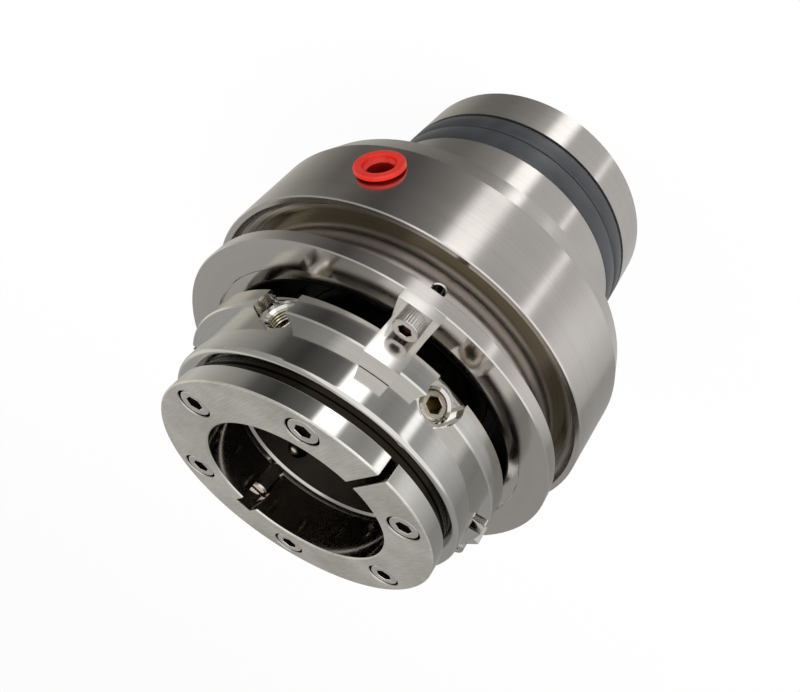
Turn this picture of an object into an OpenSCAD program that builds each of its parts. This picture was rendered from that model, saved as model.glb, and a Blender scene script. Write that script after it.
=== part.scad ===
// Cartridge mechanical seal for a 65 mm pump shaft, standing on the end of its spigot.
// Z runs along the shaft: 0 is the end face of the spigot, the clamp ring is at the top.
// Bearings are degrees about Z, counted from +X towards +Y.

/* [Shaft and sleeve] */
// Diameter of the shaft that the seal slides over
shaft_d = 65; // [60:0.5:67]
// Wall of the shaft sleeve
sleeve_wall = 5.5; // [4.5:0.1:6.5]
// How far the rear end of the sleeve lies inside the spigot
sleeve_setback = 4; // [1:0.5:10]
// Chamfer on the ends of the sleeve and on running edges
edge_chamfer = 0.8; // [0.3:0.1:1.2]
// Distance from the rear end of the sleeve to its inner O-ring groove
sleeve_groove_offset = 9; // [6:0.5:14]
// Cord diameter of the O-ring inside the sleeve
sleeve_cord_d = 3.5; // [2.5:0.1:4]

/* [Spigot] */
// Length of the spigot that enters the pump casing
spigot_len = 76; // [70:0.1:90]
// Wall of the spigot outside the seal chamber
spigot_wall = 8.6; // [7.5:0.1:10]
// Distance from the spigot end to the groove for its two rings
spigot_groove_start = 20.1; // [14:0.1:24]
// Width of the rear ring in the groove
spigot_ring_rear_w = 9.4; // [7:0.1:12]
// Width of the front ring in the groove
spigot_ring_front_w = 11.9; // [8:0.1:14]
// Depth of the groove for the two rings
spigot_groove_depth = 4.4; // [3:0.1:5]
// Rise of the crown on each ring, measured on its edges
spigot_ring_crown = 0.35; // [0.1:0.05:0.8]

/* [Gland body] */
// Length of the gland body along the shaft
body_len = 39.8; // [36:0.1:46]
// How much the radius of the body grows from its front to its rear taper
body_flare = 1.5; // [0:0.1:2]
// Length of the taper towards the rear face
body_taper_len = 9.5; // [3:0.1:10]
// How much the radius loses along that taper
body_taper_drop = 2.5; // [0.3:0.1:3]
// Radial width of the lip round the front recess
lip_w = 2.3; // [1.5:0.1:3.5]
// Depth of the dished recess inside the lip
recess_depth = 4.9; // [3:0.1:6]
// Radial run of the recess's rounded side
recess_run = 5.2; // [3:0.1:6]
// Radial width of the flat floor between that side and the cover's neck
recess_floor_w = 2.5; // [1:0.1:4]

/* [Flush port] */
// Bearing of the flush port
port_angle = -38.4; // [-180:0.1:180]
// Distance from the front of the gland body to the port
port_from_front = 18.3; // [16.5:0.1:20]
// Bore of the port before it is tapped
port_d = 11.8; // [11.4:0.1:18]
// Depth of the port
port_depth = 9; // [6:0.5:10]
// Diameter of the slanted drilling from the port to the seal chamber
flush_d = 5; // [3:0.1:6]
// How far behind the seat that drilling enters the seal chamber
flush_drop = 9; // [7:0.5:11]
// How far the flange of the plastic port plug reaches out past the port
plug_rim_w = 2.45; // [1.5:0.05:4]
// How far the flange stands above the gland body
plug_flange_h = 2; // [1:0.1:3]
// Thickness of the flange under the cup in it
plug_floor_t = 0.4; // [0.4:0.1:0.8]
// Radial width of the slanted ledge between that cup and the plug's bore
plug_ledge_w = 1; // [0.1:0.05:1.6]
// Wall of the plug's skirt inside the port
plug_wall = 1.4; // [1:0.1:2]

/* [Front cover] */
// Radial land outside the clips on the ring that they are screwed to
ring_land = 10.25; // [9.5:0.05:11.5]
// Thickness of that ring
ring_t = 5.5; // [4.5:0.1:8]
// How far the ring stands out over the neck behind it
ring_overhang = 6.25; // [5:0.05:8]
// Length of neck seen between the body and the ring
neck_len = 13; // [9:0.1:18]
// Radial wall of the neck
neck_wall = 9.6; // [8:0.1:11]
// Radial width of the sunk face round the mouth of the ring
mouth_step = 4.8; // [2:0.1:5]
// How far that face is sunk below the ring's front
mouth_depth = 1; // [0.4:0.1:2]
// Depth from the ring face to the floor of that space
cover_depth = 17.3; // [15:0.1:20]
// Thickness of the floor that carries the throttle bushing
cover_floor_t = 13; // [11:0.5:16]
// Depth of the neck that sits in the gland body
neck_seat_depth = 3.9; // [2:0.1:4.5]
// Diameter of the spanner holes in the neck
spanner_hole_d = 4.4; // [3.5:0.1:7]
// Distance from the ring to the spanner holes
spanner_hole_drop = 5.8; // [3.5:0.1:8]

/* [Setting clips] */
// How many setting clips hold the collar at its working length
clip_count = 3; // [2:1:3]
// Bearing of the first setting clip
clip_angle = -68.7; // [-90:0.1:-60]
// Angle that each clip covers
clip_span = 11.2; // [8:0.1:16]
// Thickness of the tab on the ring
clip_tab_t = 3.7; // [3:0.1:5]
// Thickness of the clip outside the rib
clip_leg_t = 2.6; // [2:0.1:4]
// Thickness of the lip in front of the rib
clip_lip_t = 2.3; // [1.5:0.1:4]
// Free space between a clip and the rib
clip_gap = 0.3; // [0.2:0.05:0.6]
// Thread diameter of the clip screws
clip_screw_d = 5; // [4:0.5:6]
// Length of the clip screws under the head
clip_screw_len = 8; // [7:0.5:8.5]
// Radial space round the heads of the clip screws in their spot faces
clip_spot_gap = 1.35; // [0.3:0.05:1.5]

/* [Drive collar] */
// Radial wall of the drive collar over the sleeve
collar_wall = 15; // [14:0.1:17]
// Length of the drive collar
collar_len = 24.7; // [22:0.1:30]
// Distance from the rear of the collar to the rib
rib_offset = 2.7; // [2:0.1:4]
// Width of the rib
rib_w = 8.6; // [7:0.1:11]
// Height of the rib above the collar
rib_h = 5.1; // [4:0.1:7]
// Radius on the front edge of the collar
collar_round = 1.6; // [0.5:0.1:2.5]
// Number of collar set screws
set_screw_count = 6; // [3:3:6]
// Bearing of the first collar set screw
set_screw_angle = -30; // [-40:0.5:-20]
// Width of the pockets milled through the rib
pocket_w = 12.3; // [11.5:0.1:16]
// Depth of the flat pocket floor below the collar surface
pocket_bite = 0.6; // [0.4:0.05:1]
// How far a pocket runs past both faces of the rib
pocket_run = 0.3; // [0.1:0.05:0.5]
// Diameter of the spot face round each set screw
spot_d = 13.6; // [12.5:0.1:15]
// Distance from the rear of the collar to the set screws
set_screw_offset = 7.7; // [7.2:0.1:8.2]
// Thread diameter of the collar set screws
set_screw_d = 10; // [8:0.5:10]
// Length of the collar set screws
set_screw_len = 14; // [12:0.5:15]
// Distance from the shaft to the tips of the set screws that are run in
set_screw_tip_gap = 1; // [0.3:0.1:1.5]
// How much further out the other set screws stand
set_screw_lift = 4.5; // [3:0.1:5]
// Across flats of the hexagon socket in the set screws
set_screw_hex = 5; // [4:0.5:6]

/* [Split clamp ring] */
// Wall of the clamp ring outside its counterbores
clamp_rim = 2.35; // [1.5:0.05:3]
// Thickness of the clamp ring outside the collar
clamp_t = 7; // [6:0.1:10]
// Width of the groove between the collar and the clamp ring
groove_w = 3; // [2:0.1:5]
// How far the collar's hub, the floor of that groove, lies inside the clamp ring's edge
hub_drop = 2.3; // [1.5:0.1:3]
// Draw gap between the hub and the clamp ring
clamp_gap = 0.3; // [0.2:0.1:1]
// Distance from the tip of the nose to the sleeve
sleeve_end_gap = 1.5; // [0.8:0.1:3]
// Length of the tapered nose from the back of the ring
nose_len = 9; // [7:0.1:11]
// Radial thickness of the nose where it leaves the ring
nose_wall = 5.8; // [4.5:0.1:6]
// How much the nose radius loses to its tip
nose_drop = 1.2; // [0.5:0.1:1.5]
// Width of the slit through the clamp ring
slit_w = 3; // [1:0.1:5]
// Bearing of the slit
slit_angle = -91; // [-110:0.5:-70]
// Width of the keyway notch in the clamp ring
notch_w = 6.5; // [6.3:0.1:8]
// Depth of the keyway notch from the bore
notch_depth = 5.5; // [4.5:0.1:6.5]
// Diameter of the key pin
key_d = 6; // [4:0.1:6]
// Radial offset of the key pin axis from the shaft surface
key_offset = 3.8; // [3.5:0.1:4.2]
// Length of the key pin
key_len = 14.2; // [12:0.1:15]
// Number of clamp screws
clamp_screw_count = 6; // [3:3:6]
// Thread diameter of the clamp screws
clamp_screw_d = 6; // [5:0.5:6]
// Length of the clamp screws under the head
clamp_screw_len = 16; // [14:0.5:18]
// Distance of the clamp screws from the shaft surface
clamp_screw_offset = 9.4; // [9.2:0.1:10]
// Depth of the counterbores in the clamp ring
counterbore_depth = 4.3; // [3:0.1:5]
// Diameter of the counterbores
counterbore_d = 11.5; // [10.5:0.1:12.5]

/* [Seal faces] */
// Radial space between the rotating parts and the chamber wall
chamber_gap = 1.8; // [1:0.1:3]
// Radial wall of the rotating primary ring
ring_wall = 8.2; // [7:0.1:9]
// Length of the primary ring behind its nose
primary_len = 14; // [11:0.1:17]
// Length of the lapped nose of the primary ring
nose_face_len = 2.5; // [1.5:0.1:3.5]
// Radial width of the lapped nose
nose_face_w = 3.2; // [2:0.1:4]
// Film between the lapped faces
face_film = 0.02; // [0.01:0.01:0.05]
// Length of the stationary seat
seat_len = 9; // [7:0.5:12]
// Radial space between the sleeve and the stationary seat
seat_bore_gap = 1.5; // [1:0.1:2]
// Radial wall of the stationary seat
seat_wall = 10.5; // [9.5:0.1:11.5]
// Radial wall of the front cover round the seat
seat_housing_wall = 4.8; // [4:0.1:6]
// Cord diameter of the O-rings at the seal faces
face_cord_d = 3; // [2.5:0.1:3.5]
// Length of the throttle bushing
bushing_len = 8; // [6:0.5:10]
// Radial wall of the throttle bushing
bushing_wall = 5.6; // [4:0.1:7]
// Thickness of the snap ring over the bushing
snap_ring_t = 1.5; // [1:0.1:2]
// Diameter of the pin that stops the seat from turning
seat_pin_d = 3; // [2:0.5:4]

/* [Spring drive] */
// Length of the spring carrier
carrier_len = 22; // [18:0.5:28]
// Length of the springs as stored
spring_len = 9; // [7:0.5:12]
// Number of springs
spring_count = 6; // [4:1:8]
// Outside diameter of each spring
spring_d = 5; // [4:0.1:5.5]
// Wire diameter of each spring
spring_wire_d = 0.9; // [0.5:0.1:1]
// Turns in each spring
spring_turns = 4; // [3:1:5]
// Depth of the spring pockets in the carrier
spring_pocket_depth = 5; // [3:0.5:6]
// Number of set screws that hold the carrier on the sleeve
carrier_screw_count = 3; // [2:1:4]
// Thread diameter of those set screws
carrier_screw_d = 5; // [4:0.5:6]
// Distance from the rear of the carrier to them
carrier_screw_offset = 7; // [5:0.5:9]
// Thickness of the thrust disc
disc_t = 2.5; // [2:0.1:4]
// Number of drive pins between the carrier and the primary ring
drive_pin_count = 2; // [2:1:3]
// Diameter of the drive pins
drive_pin_d = 3; // [2:0.5:3]
// How far the drive pins reach into the primary ring
drive_pin_reach = 6; // [4:0.5:7]
// How far the primary ring can be pushed back against its springs
float_travel = 2; // [0.5:0.1:2.5]

/* [Fits] */
// Radial clearance of parts that are fitted over each other
fit_gap = 0.03; // [0.01:0.01:0.08]
// Radial clearance of a screw in its thread
thread_gap = 0.02; // [0.01:0.01:0.05]
// Radial clearance of a screw in a plain hole
hole_gap = 0.3; // [0.2:0.1:0.8]
// Radial running clearance between turning and standing parts
run_gap = 0.35; // [0.25:0.05:0.6]

/* [Hidden] */
$fn = 96;
eps = 0.01;

shaft_r = shaft_d / 2;
sleeve_r = shaft_r + sleeve_wall;
rotor_r = sleeve_r + ring_wall;
chamber_r = rotor_r + chamber_gap;
spigot_r = chamber_r + spigot_wall;
collar_r = sleeve_r + collar_wall;
rib_r = collar_r + rib_h;
nose_root_r = shaft_r + nose_wall;
nose_tip_r = nose_root_r - nose_drop;
clamp_screw_r = shaft_r + clamp_screw_offset;
clamp_r = clamp_screw_r + counterbore_d / 2 + clamp_rim;
hub_r = clamp_r - hub_drop;

// Radii of the clips, then of the ring under them, its neck and the body round the neck
clip_in_r = collar_r + clip_gap;
clip_floor_r = rib_r + clip_gap;
clip_leg_r = clip_floor_r + clip_leg_t;
ring_r = clip_leg_r + ring_land;
clip_screw_r = clip_leg_r + ring_land / 2;
neck_r = ring_r - ring_overhang;
cover_bore_r = neck_r - neck_wall;
mouth_r = cover_bore_r + mouth_step;
body_r = neck_r + recess_floor_w + recess_run + lip_w;

// Stations along the shaft, from the spigot end to the clamp ring face
body_front_z = spigot_len + body_len;
recess_z = body_front_z - recess_depth;
neck_seat_z = recess_z - neck_seat_depth;
ring_back_z = body_front_z + neck_len;
ring_front_z = ring_back_z + ring_t;
tab_top_z = ring_front_z + clip_tab_t;
collar_back_z = tab_top_z + clip_gap;
collar_front_z = collar_back_z + collar_len;
rib_back_z = collar_back_z + rib_offset;
rib_front_z = rib_back_z + rib_w;
clamp_back_z = collar_front_z + groove_w;
hub_front_z = clamp_back_z - clamp_gap;
clamp_front_z = clamp_back_z + clamp_t;
nose_tip_z = clamp_back_z - nose_len;
sleeve_front_z = nose_tip_z - sleeve_end_gap;
body_wide_r = body_r + body_flare;
body_slope = body_flare / (body_len - body_taper_len);
port_z = body_front_z - port_from_front;
port_face_r = body_r + body_slope * port_from_front;
port_floor_r = port_face_r - port_depth;

// The cover floor carries the bushing in front and the seat behind
cover_floor_z = ring_front_z - cover_depth;
cover_back_z = cover_floor_z - cover_floor_t;
seat_in_r = sleeve_r + seat_bore_gap;
seat_r = seat_in_r + seat_wall;
seat_housing_r = seat_r + run_gap + seat_housing_wall;
seat_front_z = cover_back_z;
seat_back_z = seat_front_z - seat_len;
housing_back_z = seat_back_z + 1;
bushing_r = sleeve_r + run_gap + bushing_wall;
bushing_lip = 1.5;
bushing_back_z = cover_back_z + bushing_lip;
bushing_front_z = bushing_back_z + bushing_len;

// The spring drive stands behind the primary ring
nose_back_z = seat_back_z - face_film - nose_face_len;
primary_back_z = nose_back_z - primary_len;
disc_back_z = primary_back_z - disc_t;
carrier_front_z = disc_back_z - spring_len + spring_pocket_depth;
carrier_back_z = carrier_front_z - carrier_len;
spring_r = sleeve_r + ring_wall / 2;
drive_r = sleeve_r + (ring_wall + face_cord_d) / 2;
seat_pin_r = (bushing_r + seat_r - 1) / 2;
face_r = sleeve_r + ring_wall - nose_face_w;

// Screw sizes that follow their threads
clamp_head_d = clamp_screw_d * 5 / 3;
clamp_head_h = clamp_screw_d * 2 / 3;
clip_head_d = clip_screw_d * 1.7;
clip_head_h = clip_screw_d;
set_screw_z = collar_back_z + set_screw_offset;
set_screw_tip_d = set_screw_d * 0.7;
set_screw_tip_h = sleeve_wall - set_screw_tip_gap + hole_gap;
key_r = shaft_r + key_offset;
key_front_z = clamp_back_z - hole_gap;
pocket_floor_r = collar_r - pocket_bite;
notch_angle = slit_angle + 180;

// A plain hexagon prism, used as a driver socket
module hex_socket(flats, depth) {
    cylinder(h = depth, d = flats / cos(30), $fn = 6);
}

// Copies its children round the shaft, each turned with its bearing
module around(count, first) {
    for (i = [0 : count - 1])
        rotate([0, 0, first + i * 360 / count])
            children();
}

// A ring of round section lying round the shaft
module cord_ring(centre_r, centre_z, cord_d) {
    translate([0, 0, centre_z])
        rotate_extrude()
            translate([centre_r, 0])
                circle(d = cord_d, $fn = 32);
}

// Plain ring between two radii with both end edges chamfered outside
module turned_ring(in_r, out_r, back_z, front_z, c) {
    rotate_extrude()
        polygon([[in_r, back_z], [out_r - c, back_z], [out_r, back_z + c],
                 [out_r, front_z - c], [out_r - c, front_z], [in_r, front_z]]);
}

// Outline of the flange and spigot turned from one bar
module gland_outline() {
    c = edge_chamfer;
    rim_c = 0.4;
    body_rear_r = body_wide_r - body_taper_drop;
    groove_r = spigot_r - spigot_groove_depth;
    groove_end = spigot_groove_start + spigot_ring_rear_w + spigot_ring_front_w;
    lip_r = body_r - lip_w;
    dish = [for (t = [80 : -10 : 0])
        [lip_r - recess_run * (1 - sin(t)), body_front_z - recess_depth * cos(t)]];
    polygon([
        [chamber_r + c, 0],
        [spigot_r - c, 0],
        [spigot_r, c],
        [spigot_r, spigot_groove_start],
        [groove_r, spigot_groove_start],
        [groove_r, groove_end],
        [spigot_r, groove_end],
        [spigot_r, spigot_len],
        [body_rear_r - rim_c, spigot_len],
        [body_rear_r, spigot_len + rim_c],
        [body_wide_r, spigot_len + body_taper_len],
        [body_r, body_front_z - rim_c],
        [body_r - rim_c, body_front_z],
        [lip_r + 0.2, body_front_z],
        [lip_r, body_front_z - 0.2],
        each dish,
        [neck_r + fit_gap, recess_z],
        [neck_r + fit_gap, neck_seat_z],
        [seat_housing_r + fit_gap, neck_seat_z],
        [seat_housing_r + fit_gap, housing_back_z - 1],
        [chamber_r, housing_back_z - 1],
        [chamber_r, c]
    ]);
}

// Port bored square to the side, with the slanted drilling at its floor
module flush_port() {
    slope_r = port_floor_r - chamber_r;
    slope_z = seat_back_z - flush_drop;
    rotate([0, 0, port_angle]) {
        translate([port_floor_r, 0, port_z])
            rotate([0, 90, 0])
                cylinder(h = port_depth + 1, d = port_d);
        translate([port_face_r - 1, 0, port_z])
            rotate([0, 90, 0])
                cylinder(h = 1.2, d1 = port_d, d2 = port_d + 1.2);
        translate([port_floor_r + 0.5, 0, port_z - 1])
            rotate([0, -90 - atan2(port_z - 1 - slope_z, slope_r), 0])
                cylinder(h = norm([slope_r, port_z - slope_z]) + 4, d = flush_d, $fn = 48);
    }
}

module gland_body() {
    color("#B4B3AC")
        difference() {
            rotate_extrude()
                gland_outline();
            flush_port();
        }
}

// Ring, neck and bushing floor in one turned piece
module front_cover() {
    c = edge_chamfer;
    groove_z = (housing_back_z + neck_seat_z) / 2;
    groove_w = face_cord_d * 1.15;
    groove_r = seat_housing_r - face_cord_d * 0.88;
    snap_z = bushing_front_z + fit_gap;
    boss_z = max(cover_floor_z, snap_z + snap_ring_t + 1);
    spanner_sink = 0.4;
    color("#B9B8B2")
        difference() {
            rotate_extrude()
                polygon([
                    [seat_r + run_gap, housing_back_z],
                    [seat_housing_r - c, housing_back_z],
                    [seat_housing_r, housing_back_z + c],
                    [seat_housing_r, groove_z - groove_w / 2],
                    [groove_r, groove_z - groove_w / 2],
                    [groove_r, groove_z + groove_w / 2],
                    [seat_housing_r, groove_z + groove_w / 2],
                    [seat_housing_r, neck_seat_z],
                    [neck_r, neck_seat_z],
                    [neck_r, ring_back_z],
                    [ring_r - 0.4, ring_back_z],
                    [ring_r, ring_back_z + 0.4],
                    [ring_r, ring_front_z - 0.4],
                    [ring_r - 0.4, ring_front_z],
                    [mouth_r + 0.3, ring_front_z],
                    [mouth_r, ring_front_z - 0.3],
                    [mouth_r, ring_front_z - mouth_depth],
                    [cover_bore_r, ring_front_z - mouth_depth],
                    [cover_bore_r, cover_floor_z],
                    [bushing_r + 4, cover_floor_z],
                    [bushing_r + 4, boss_z],
                    [bushing_r + fit_gap, boss_z],
                    [bushing_r + fit_gap, snap_z + snap_ring_t + fit_gap],
                    [bushing_r + 1.5, snap_z + snap_ring_t + fit_gap],
                    [bushing_r + 1.5, snap_z - fit_gap],
                    [bushing_r + fit_gap, snap_z - fit_gap],
                    [bushing_r + fit_gap, bushing_back_z],
                    [bushing_r - bushing_lip, bushing_back_z],
                    [bushing_r - bushing_lip, cover_back_z],
                    [seat_r + run_gap, cover_back_z]
                ]);
            around(clip_count, clip_angle) {
                translate([clip_screw_r, 0, ring_front_z - clip_screw_len + clip_tab_t - 0.4])
                    cylinder(h = clip_screw_len, r = clip_screw_d / 2 + thread_gap, $fn = 48);
                translate([cover_bore_r - 2, 0, ring_back_z - spanner_hole_drop])
                    rotate([0, 90, 0])
                        cylinder(h = neck_r - cover_bore_r + 3, d = spanner_hole_d, $fn = 48);
                translate([neck_r - spanner_sink, 0, ring_back_z - spanner_hole_drop])
                    rotate([0, 90, 0])
                        cylinder(h = spanner_sink * 1.5, d1 = spanner_hole_d,
                                 d2 = spanner_hole_d + spanner_sink * 3, $fn = 48);
            }
            translate([seat_pin_r, 0, cover_back_z - eps])
                cylinder(h = seat_pin_d * 1.5, r = seat_pin_d / 2 + fit_gap, $fn = 32);
        }
}

module cover_o_ring() {
    groove_z = (housing_back_z + neck_seat_z) / 2;
    color("#1E1F21")
        cord_ring(seat_housing_r - face_cord_d * 0.43, groove_z, face_cord_d * 0.86);
}

// Moulded cup with a flange that follows the side of the gland body
module port_plug() {
    skirt_d = port_d - 2 * fit_gap;
    skirt_len = port_depth - 1.5;
    skirt_bore_d = skirt_d - 2 * plug_wall;
    flange_d = port_d + 2 * plug_rim_w;
    flange_root = 2;
    edge_h = 0.6;
    cup_draft = 0.4;
    ledge_h = 0.8;
    cup_floor_r = port_face_r + plug_floor_t;
    cup_floor_d = skirt_bore_d + 2 * plug_ledge_w;
    cup_depth = plug_flange_h - plug_floor_t;
    color("#E6351F")
        rotate([0, 0, port_angle])
            difference() {
                union() {
                    difference() {
                        translate([port_face_r - flange_root, 0, port_z])
                            rotate([0, 90, 0])
                                cylinder(h = plug_flange_h + flange_root, d = flange_d);
                        translate([port_face_r + plug_flange_h - edge_h, 0, port_z])
                            rotate([0, 90, 0])
                                difference() {
                                    cylinder(h = edge_h + 1, d = flange_d + 2);
                                    translate([0, 0, -eps])
                                        cylinder(h = edge_h + 2 * eps, d1 = flange_d, d2 = flange_d - 1);
                                }
                        translate([0, 0, spigot_len])
                            cylinder(h = body_len, r1 = body_r + body_slope * body_len + fit_gap,
                                     r2 = body_r + fit_gap);
                    }
                    translate([port_face_r - skirt_len, 0, port_z])
                        rotate([0, 90, 0])
                            cylinder(h = skirt_len + edge_h / 2, d = skirt_d);
                }
                translate([port_face_r - skirt_len + plug_wall, 0, port_z])
                    rotate([0, 90, 0])
                        cylinder(h = skirt_len, d = skirt_bore_d);
                translate([cup_floor_r - ledge_h, 0, port_z])
                    rotate([0, 90, 0])
                        cylinder(h = ledge_h + eps, d1 = skirt_bore_d, d2 = cup_floor_d);
                translate([cup_floor_r, 0, port_z])
                    rotate([0, 90, 0])
                        cylinder(h = cup_depth + eps, d1 = cup_floor_d, d2 = cup_floor_d + cup_draft);
            }
}

// Crowned band ring in the spigot groove
module spigot_band(back_z, width) {
    in_r = spigot_r - spigot_groove_depth + fit_gap;
    edge_r = spigot_r - spigot_ring_crown;
    b = back_z + fit_gap;
    f = back_z + width - fit_gap;
    mid = (b + f) / 2;
    quarter = (f - b) / 4;
    rotate_extrude()
        polygon([[in_r, b], [edge_r, b], [spigot_r - spigot_ring_crown / 4, mid - quarter],
                 [spigot_r, mid - quarter / 3], [spigot_r, mid + quarter / 3],
                 [spigot_r - spigot_ring_crown / 4, mid + quarter], [edge_r, f], [in_r, f]]);
}

module spigot_ring_rear() {
    color("#47494D")
        spigot_band(spigot_groove_start, spigot_ring_rear_w);
}

module spigot_ring_front() {
    color("#4B4D51")
        spigot_band(spigot_groove_start + spigot_ring_rear_w, spigot_ring_front_w);
}

module throttle_bushing() {
    color("#2F3032")
        turned_ring(sleeve_r + run_gap, bushing_r, bushing_back_z, bushing_front_z, 0.5);
}

// Internal snap ring, open at one side
module bushing_snap_ring() {
    gap_angle = 24;
    color("#6E6F70")
        rotate([0, 0, gap_angle / 2])
            rotate_extrude(angle = 360 - gap_angle)
                translate([bushing_r - 1.8, bushing_front_z + fit_gap])
                    square([3.2, snap_ring_t]);
}

module stationary_seat() {
    step = face_cord_d * 0.86;
    color("#3B3E42")
        difference() {
            rotate_extrude()
                polygon([
                    [seat_in_r, seat_back_z],
                    [seat_r - step - 0.8, seat_back_z],
                    [seat_r - step, seat_back_z + 0.8],
                    [seat_r - step, seat_front_z - 2 - face_cord_d],
                    [seat_r, seat_front_z - 2 - face_cord_d + step],
                    [seat_r, seat_front_z],
                    [seat_in_r, seat_front_z]
                ]);
            translate([seat_pin_r, 0, seat_front_z - seat_pin_d * 1.2])
                cylinder(h = seat_pin_d * 1.2 + eps, r = seat_pin_d / 2 + hole_gap, $fn = 32);
        }
}

module seat_o_ring() {
    cord = face_cord_d * 0.8;
    color("#1E1F21")
        cord_ring(seat_r + run_gap - cord / 2 - fit_gap, seat_front_z - 2.4 - face_cord_d, cord);
}

module seat_pin() {
    color("#8A8B8C")
        translate([seat_pin_r, 0, seat_front_z - seat_pin_d])
            cylinder(h = seat_pin_d * 2.4, d = seat_pin_d, $fn = 32);
}

// Hooked clip: a tab on the ring, a lip in front of the rib and a leg outside it
module setting_clip() {
    clip_head_room = 0.8;
    color("#A9A9A5")
        difference() {
            rotate([0, 0, -clip_span / 2])
                rotate_extrude(angle = clip_span)
                    polygon([
                        [clip_in_r, rib_front_z + clip_gap],
                        [clip_in_r, rib_front_z + clip_gap + clip_lip_t],
                        [clip_leg_r, rib_front_z + clip_gap + clip_lip_t],
                        [clip_leg_r, tab_top_z],
                        [ring_r, tab_top_z],
                        [ring_r, ring_front_z],
                        [clip_in_r, ring_front_z],
                        [clip_in_r, rib_back_z - clip_gap],
                        [clip_floor_r, rib_back_z - clip_gap],
                        [clip_floor_r, rib_front_z + clip_gap]
                    ]);
            translate([clip_screw_r, 0, ring_front_z - 1])
                cylinder(h = clip_tab_t + 2, r = clip_screw_d / 2 + hole_gap, $fn = 48);
            translate([clip_screw_r, 0, tab_top_z])
                cylinder(h = clip_head_h + clip_head_room, d = clip_head_d + 2 * clip_spot_gap, $fn = 64);
        }
}

// Bearing of one setting clip
function clip_bearing(i) = clip_angle - i * 360 / clip_count;

module setting_clip_1() {
    rotate([0, 0, clip_bearing(0)])
        setting_clip();
}

module setting_clip_2() {
    rotate([0, 0, clip_bearing(1)])
        setting_clip();
}

module setting_clip_3() {
    rotate([0, 0, clip_bearing(2)])
        setting_clip();
}

// Cap screw with its head standing on the given plane
module cap_screw(shank_d, shank_len, head_d, head_h, hex, c) {
    translate([0, 0, -shank_len])
        cylinder(h = shank_len + eps, d = shank_d, $fn = 48);
    difference() {
        union() {
            cylinder(h = head_h - c, d = head_d, $fn = 64);
            translate([0, 0, head_h - c])
                cylinder(h = c, d1 = head_d, d2 = head_d - 2 * c, $fn = 64);
        }
        translate([0, 0, head_h * 0.45])
            hex_socket(hex, head_h);
    }
}

module clip_screws() {
    color("#9FA09D")
        around(clip_count, clip_angle)
            translate([clip_screw_r, 0, tab_top_z])
                cap_screw(clip_screw_d, clip_screw_len, clip_head_d, clip_head_h,
                          clip_screw_d * 0.8, 0.5);
}

module shaft_sleeve() {
    c = edge_chamfer;
    back_z = sleeve_setback;
    groove_z = back_z + sleeve_groove_offset;
    groove_w = sleeve_cord_d * 1.2;
    groove_r = shaft_r + sleeve_cord_d * 0.84 + 2 * fit_gap;
    color("#C2C1BB")
        difference() {
            rotate_extrude()
                polygon([
                    [shaft_r + c, back_z],
                    [sleeve_r - c, back_z],
                    [sleeve_r, back_z + c],
                    [sleeve_r, sleeve_front_z],
                    [shaft_r + c, sleeve_front_z],
                    [shaft_r, sleeve_front_z - c],
                    [shaft_r, groove_z + groove_w / 2],
                    [groove_r, groove_z + groove_w / 2],
                    [groove_r, groove_z - groove_w / 2],
                    [shaft_r, groove_z - groove_w / 2],
                    [shaft_r, back_z + c]
                ]);
            around(set_screw_count, set_screw_angle)
                translate([shaft_r - 1, 0, set_screw_z])
                    rotate([0, 90, 0])
                        cylinder(h = sleeve_wall + 2, d = set_screw_d * 0.85, $fn = 48);
            key_bore(fit_gap);
        }
}

module sleeve_o_ring() {
    cord = sleeve_cord_d * 0.84;
    color("#1E1F21")
        cord_ring(shaft_r + cord / 2 + fit_gap, sleeve_setback + sleeve_groove_offset, cord);
}

// Space or pin of the round key that lies half in the sleeve and half in the collar
module key_bore(gap) {
    rotate([0, 0, notch_angle])
        translate([key_r, 0, key_front_z - key_len - gap])
            cylinder(h = key_len + 2 * gap, r = key_d / 2 + gap, $fn = 48);
}

module key_pin() {
    color("#CFCFCB")
        rotate([0, 0, notch_angle])
            translate([key_r, 0, key_front_z - key_len]) {
                cylinder(h = key_len - 0.6, d = key_d, $fn = 48);
                translate([0, 0, key_len - 0.6])
                    cylinder(h = 0.6, d1 = key_d, d2 = key_d - 1.2, $fn = 48);
            }
}

// Section of the collar: rounded front edge, hub, and the socket for the clamp nose
module collar_section() {
    socket_tip_r = nose_tip_r + fit_gap;
    socket_mouth_r = nose_tip_r + nose_drop * (hub_front_z - nose_tip_z) / nose_len + fit_gap;
    difference() {
        polygon([
            [sleeve_r + fit_gap, collar_back_z],
            [collar_r - 0.4, collar_back_z],
            [collar_r, collar_back_z + 0.4],
            [collar_r, rib_back_z],
            [rib_r - 0.5, rib_back_z],
            [rib_r, rib_back_z + 0.5],
            [rib_r, rib_front_z - 0.5],
            [rib_r - 0.5, rib_front_z],
            [collar_r, rib_front_z],
            [collar_r, collar_front_z],
            [hub_r, collar_front_z],
            [hub_r, hub_front_z],
            [socket_mouth_r + 0.3, hub_front_z],
            [socket_mouth_r, hub_front_z - 0.3],
            [socket_tip_r, nose_tip_z],
            [socket_tip_r, sleeve_front_z],
            [sleeve_r + fit_gap, sleeve_front_z]
        ]);
        translate([collar_r - collar_round, collar_front_z - collar_round])
            difference() {
                square(collar_round + 1);
                circle(r = collar_round, $fn = 48);
            }
    }
}

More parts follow.
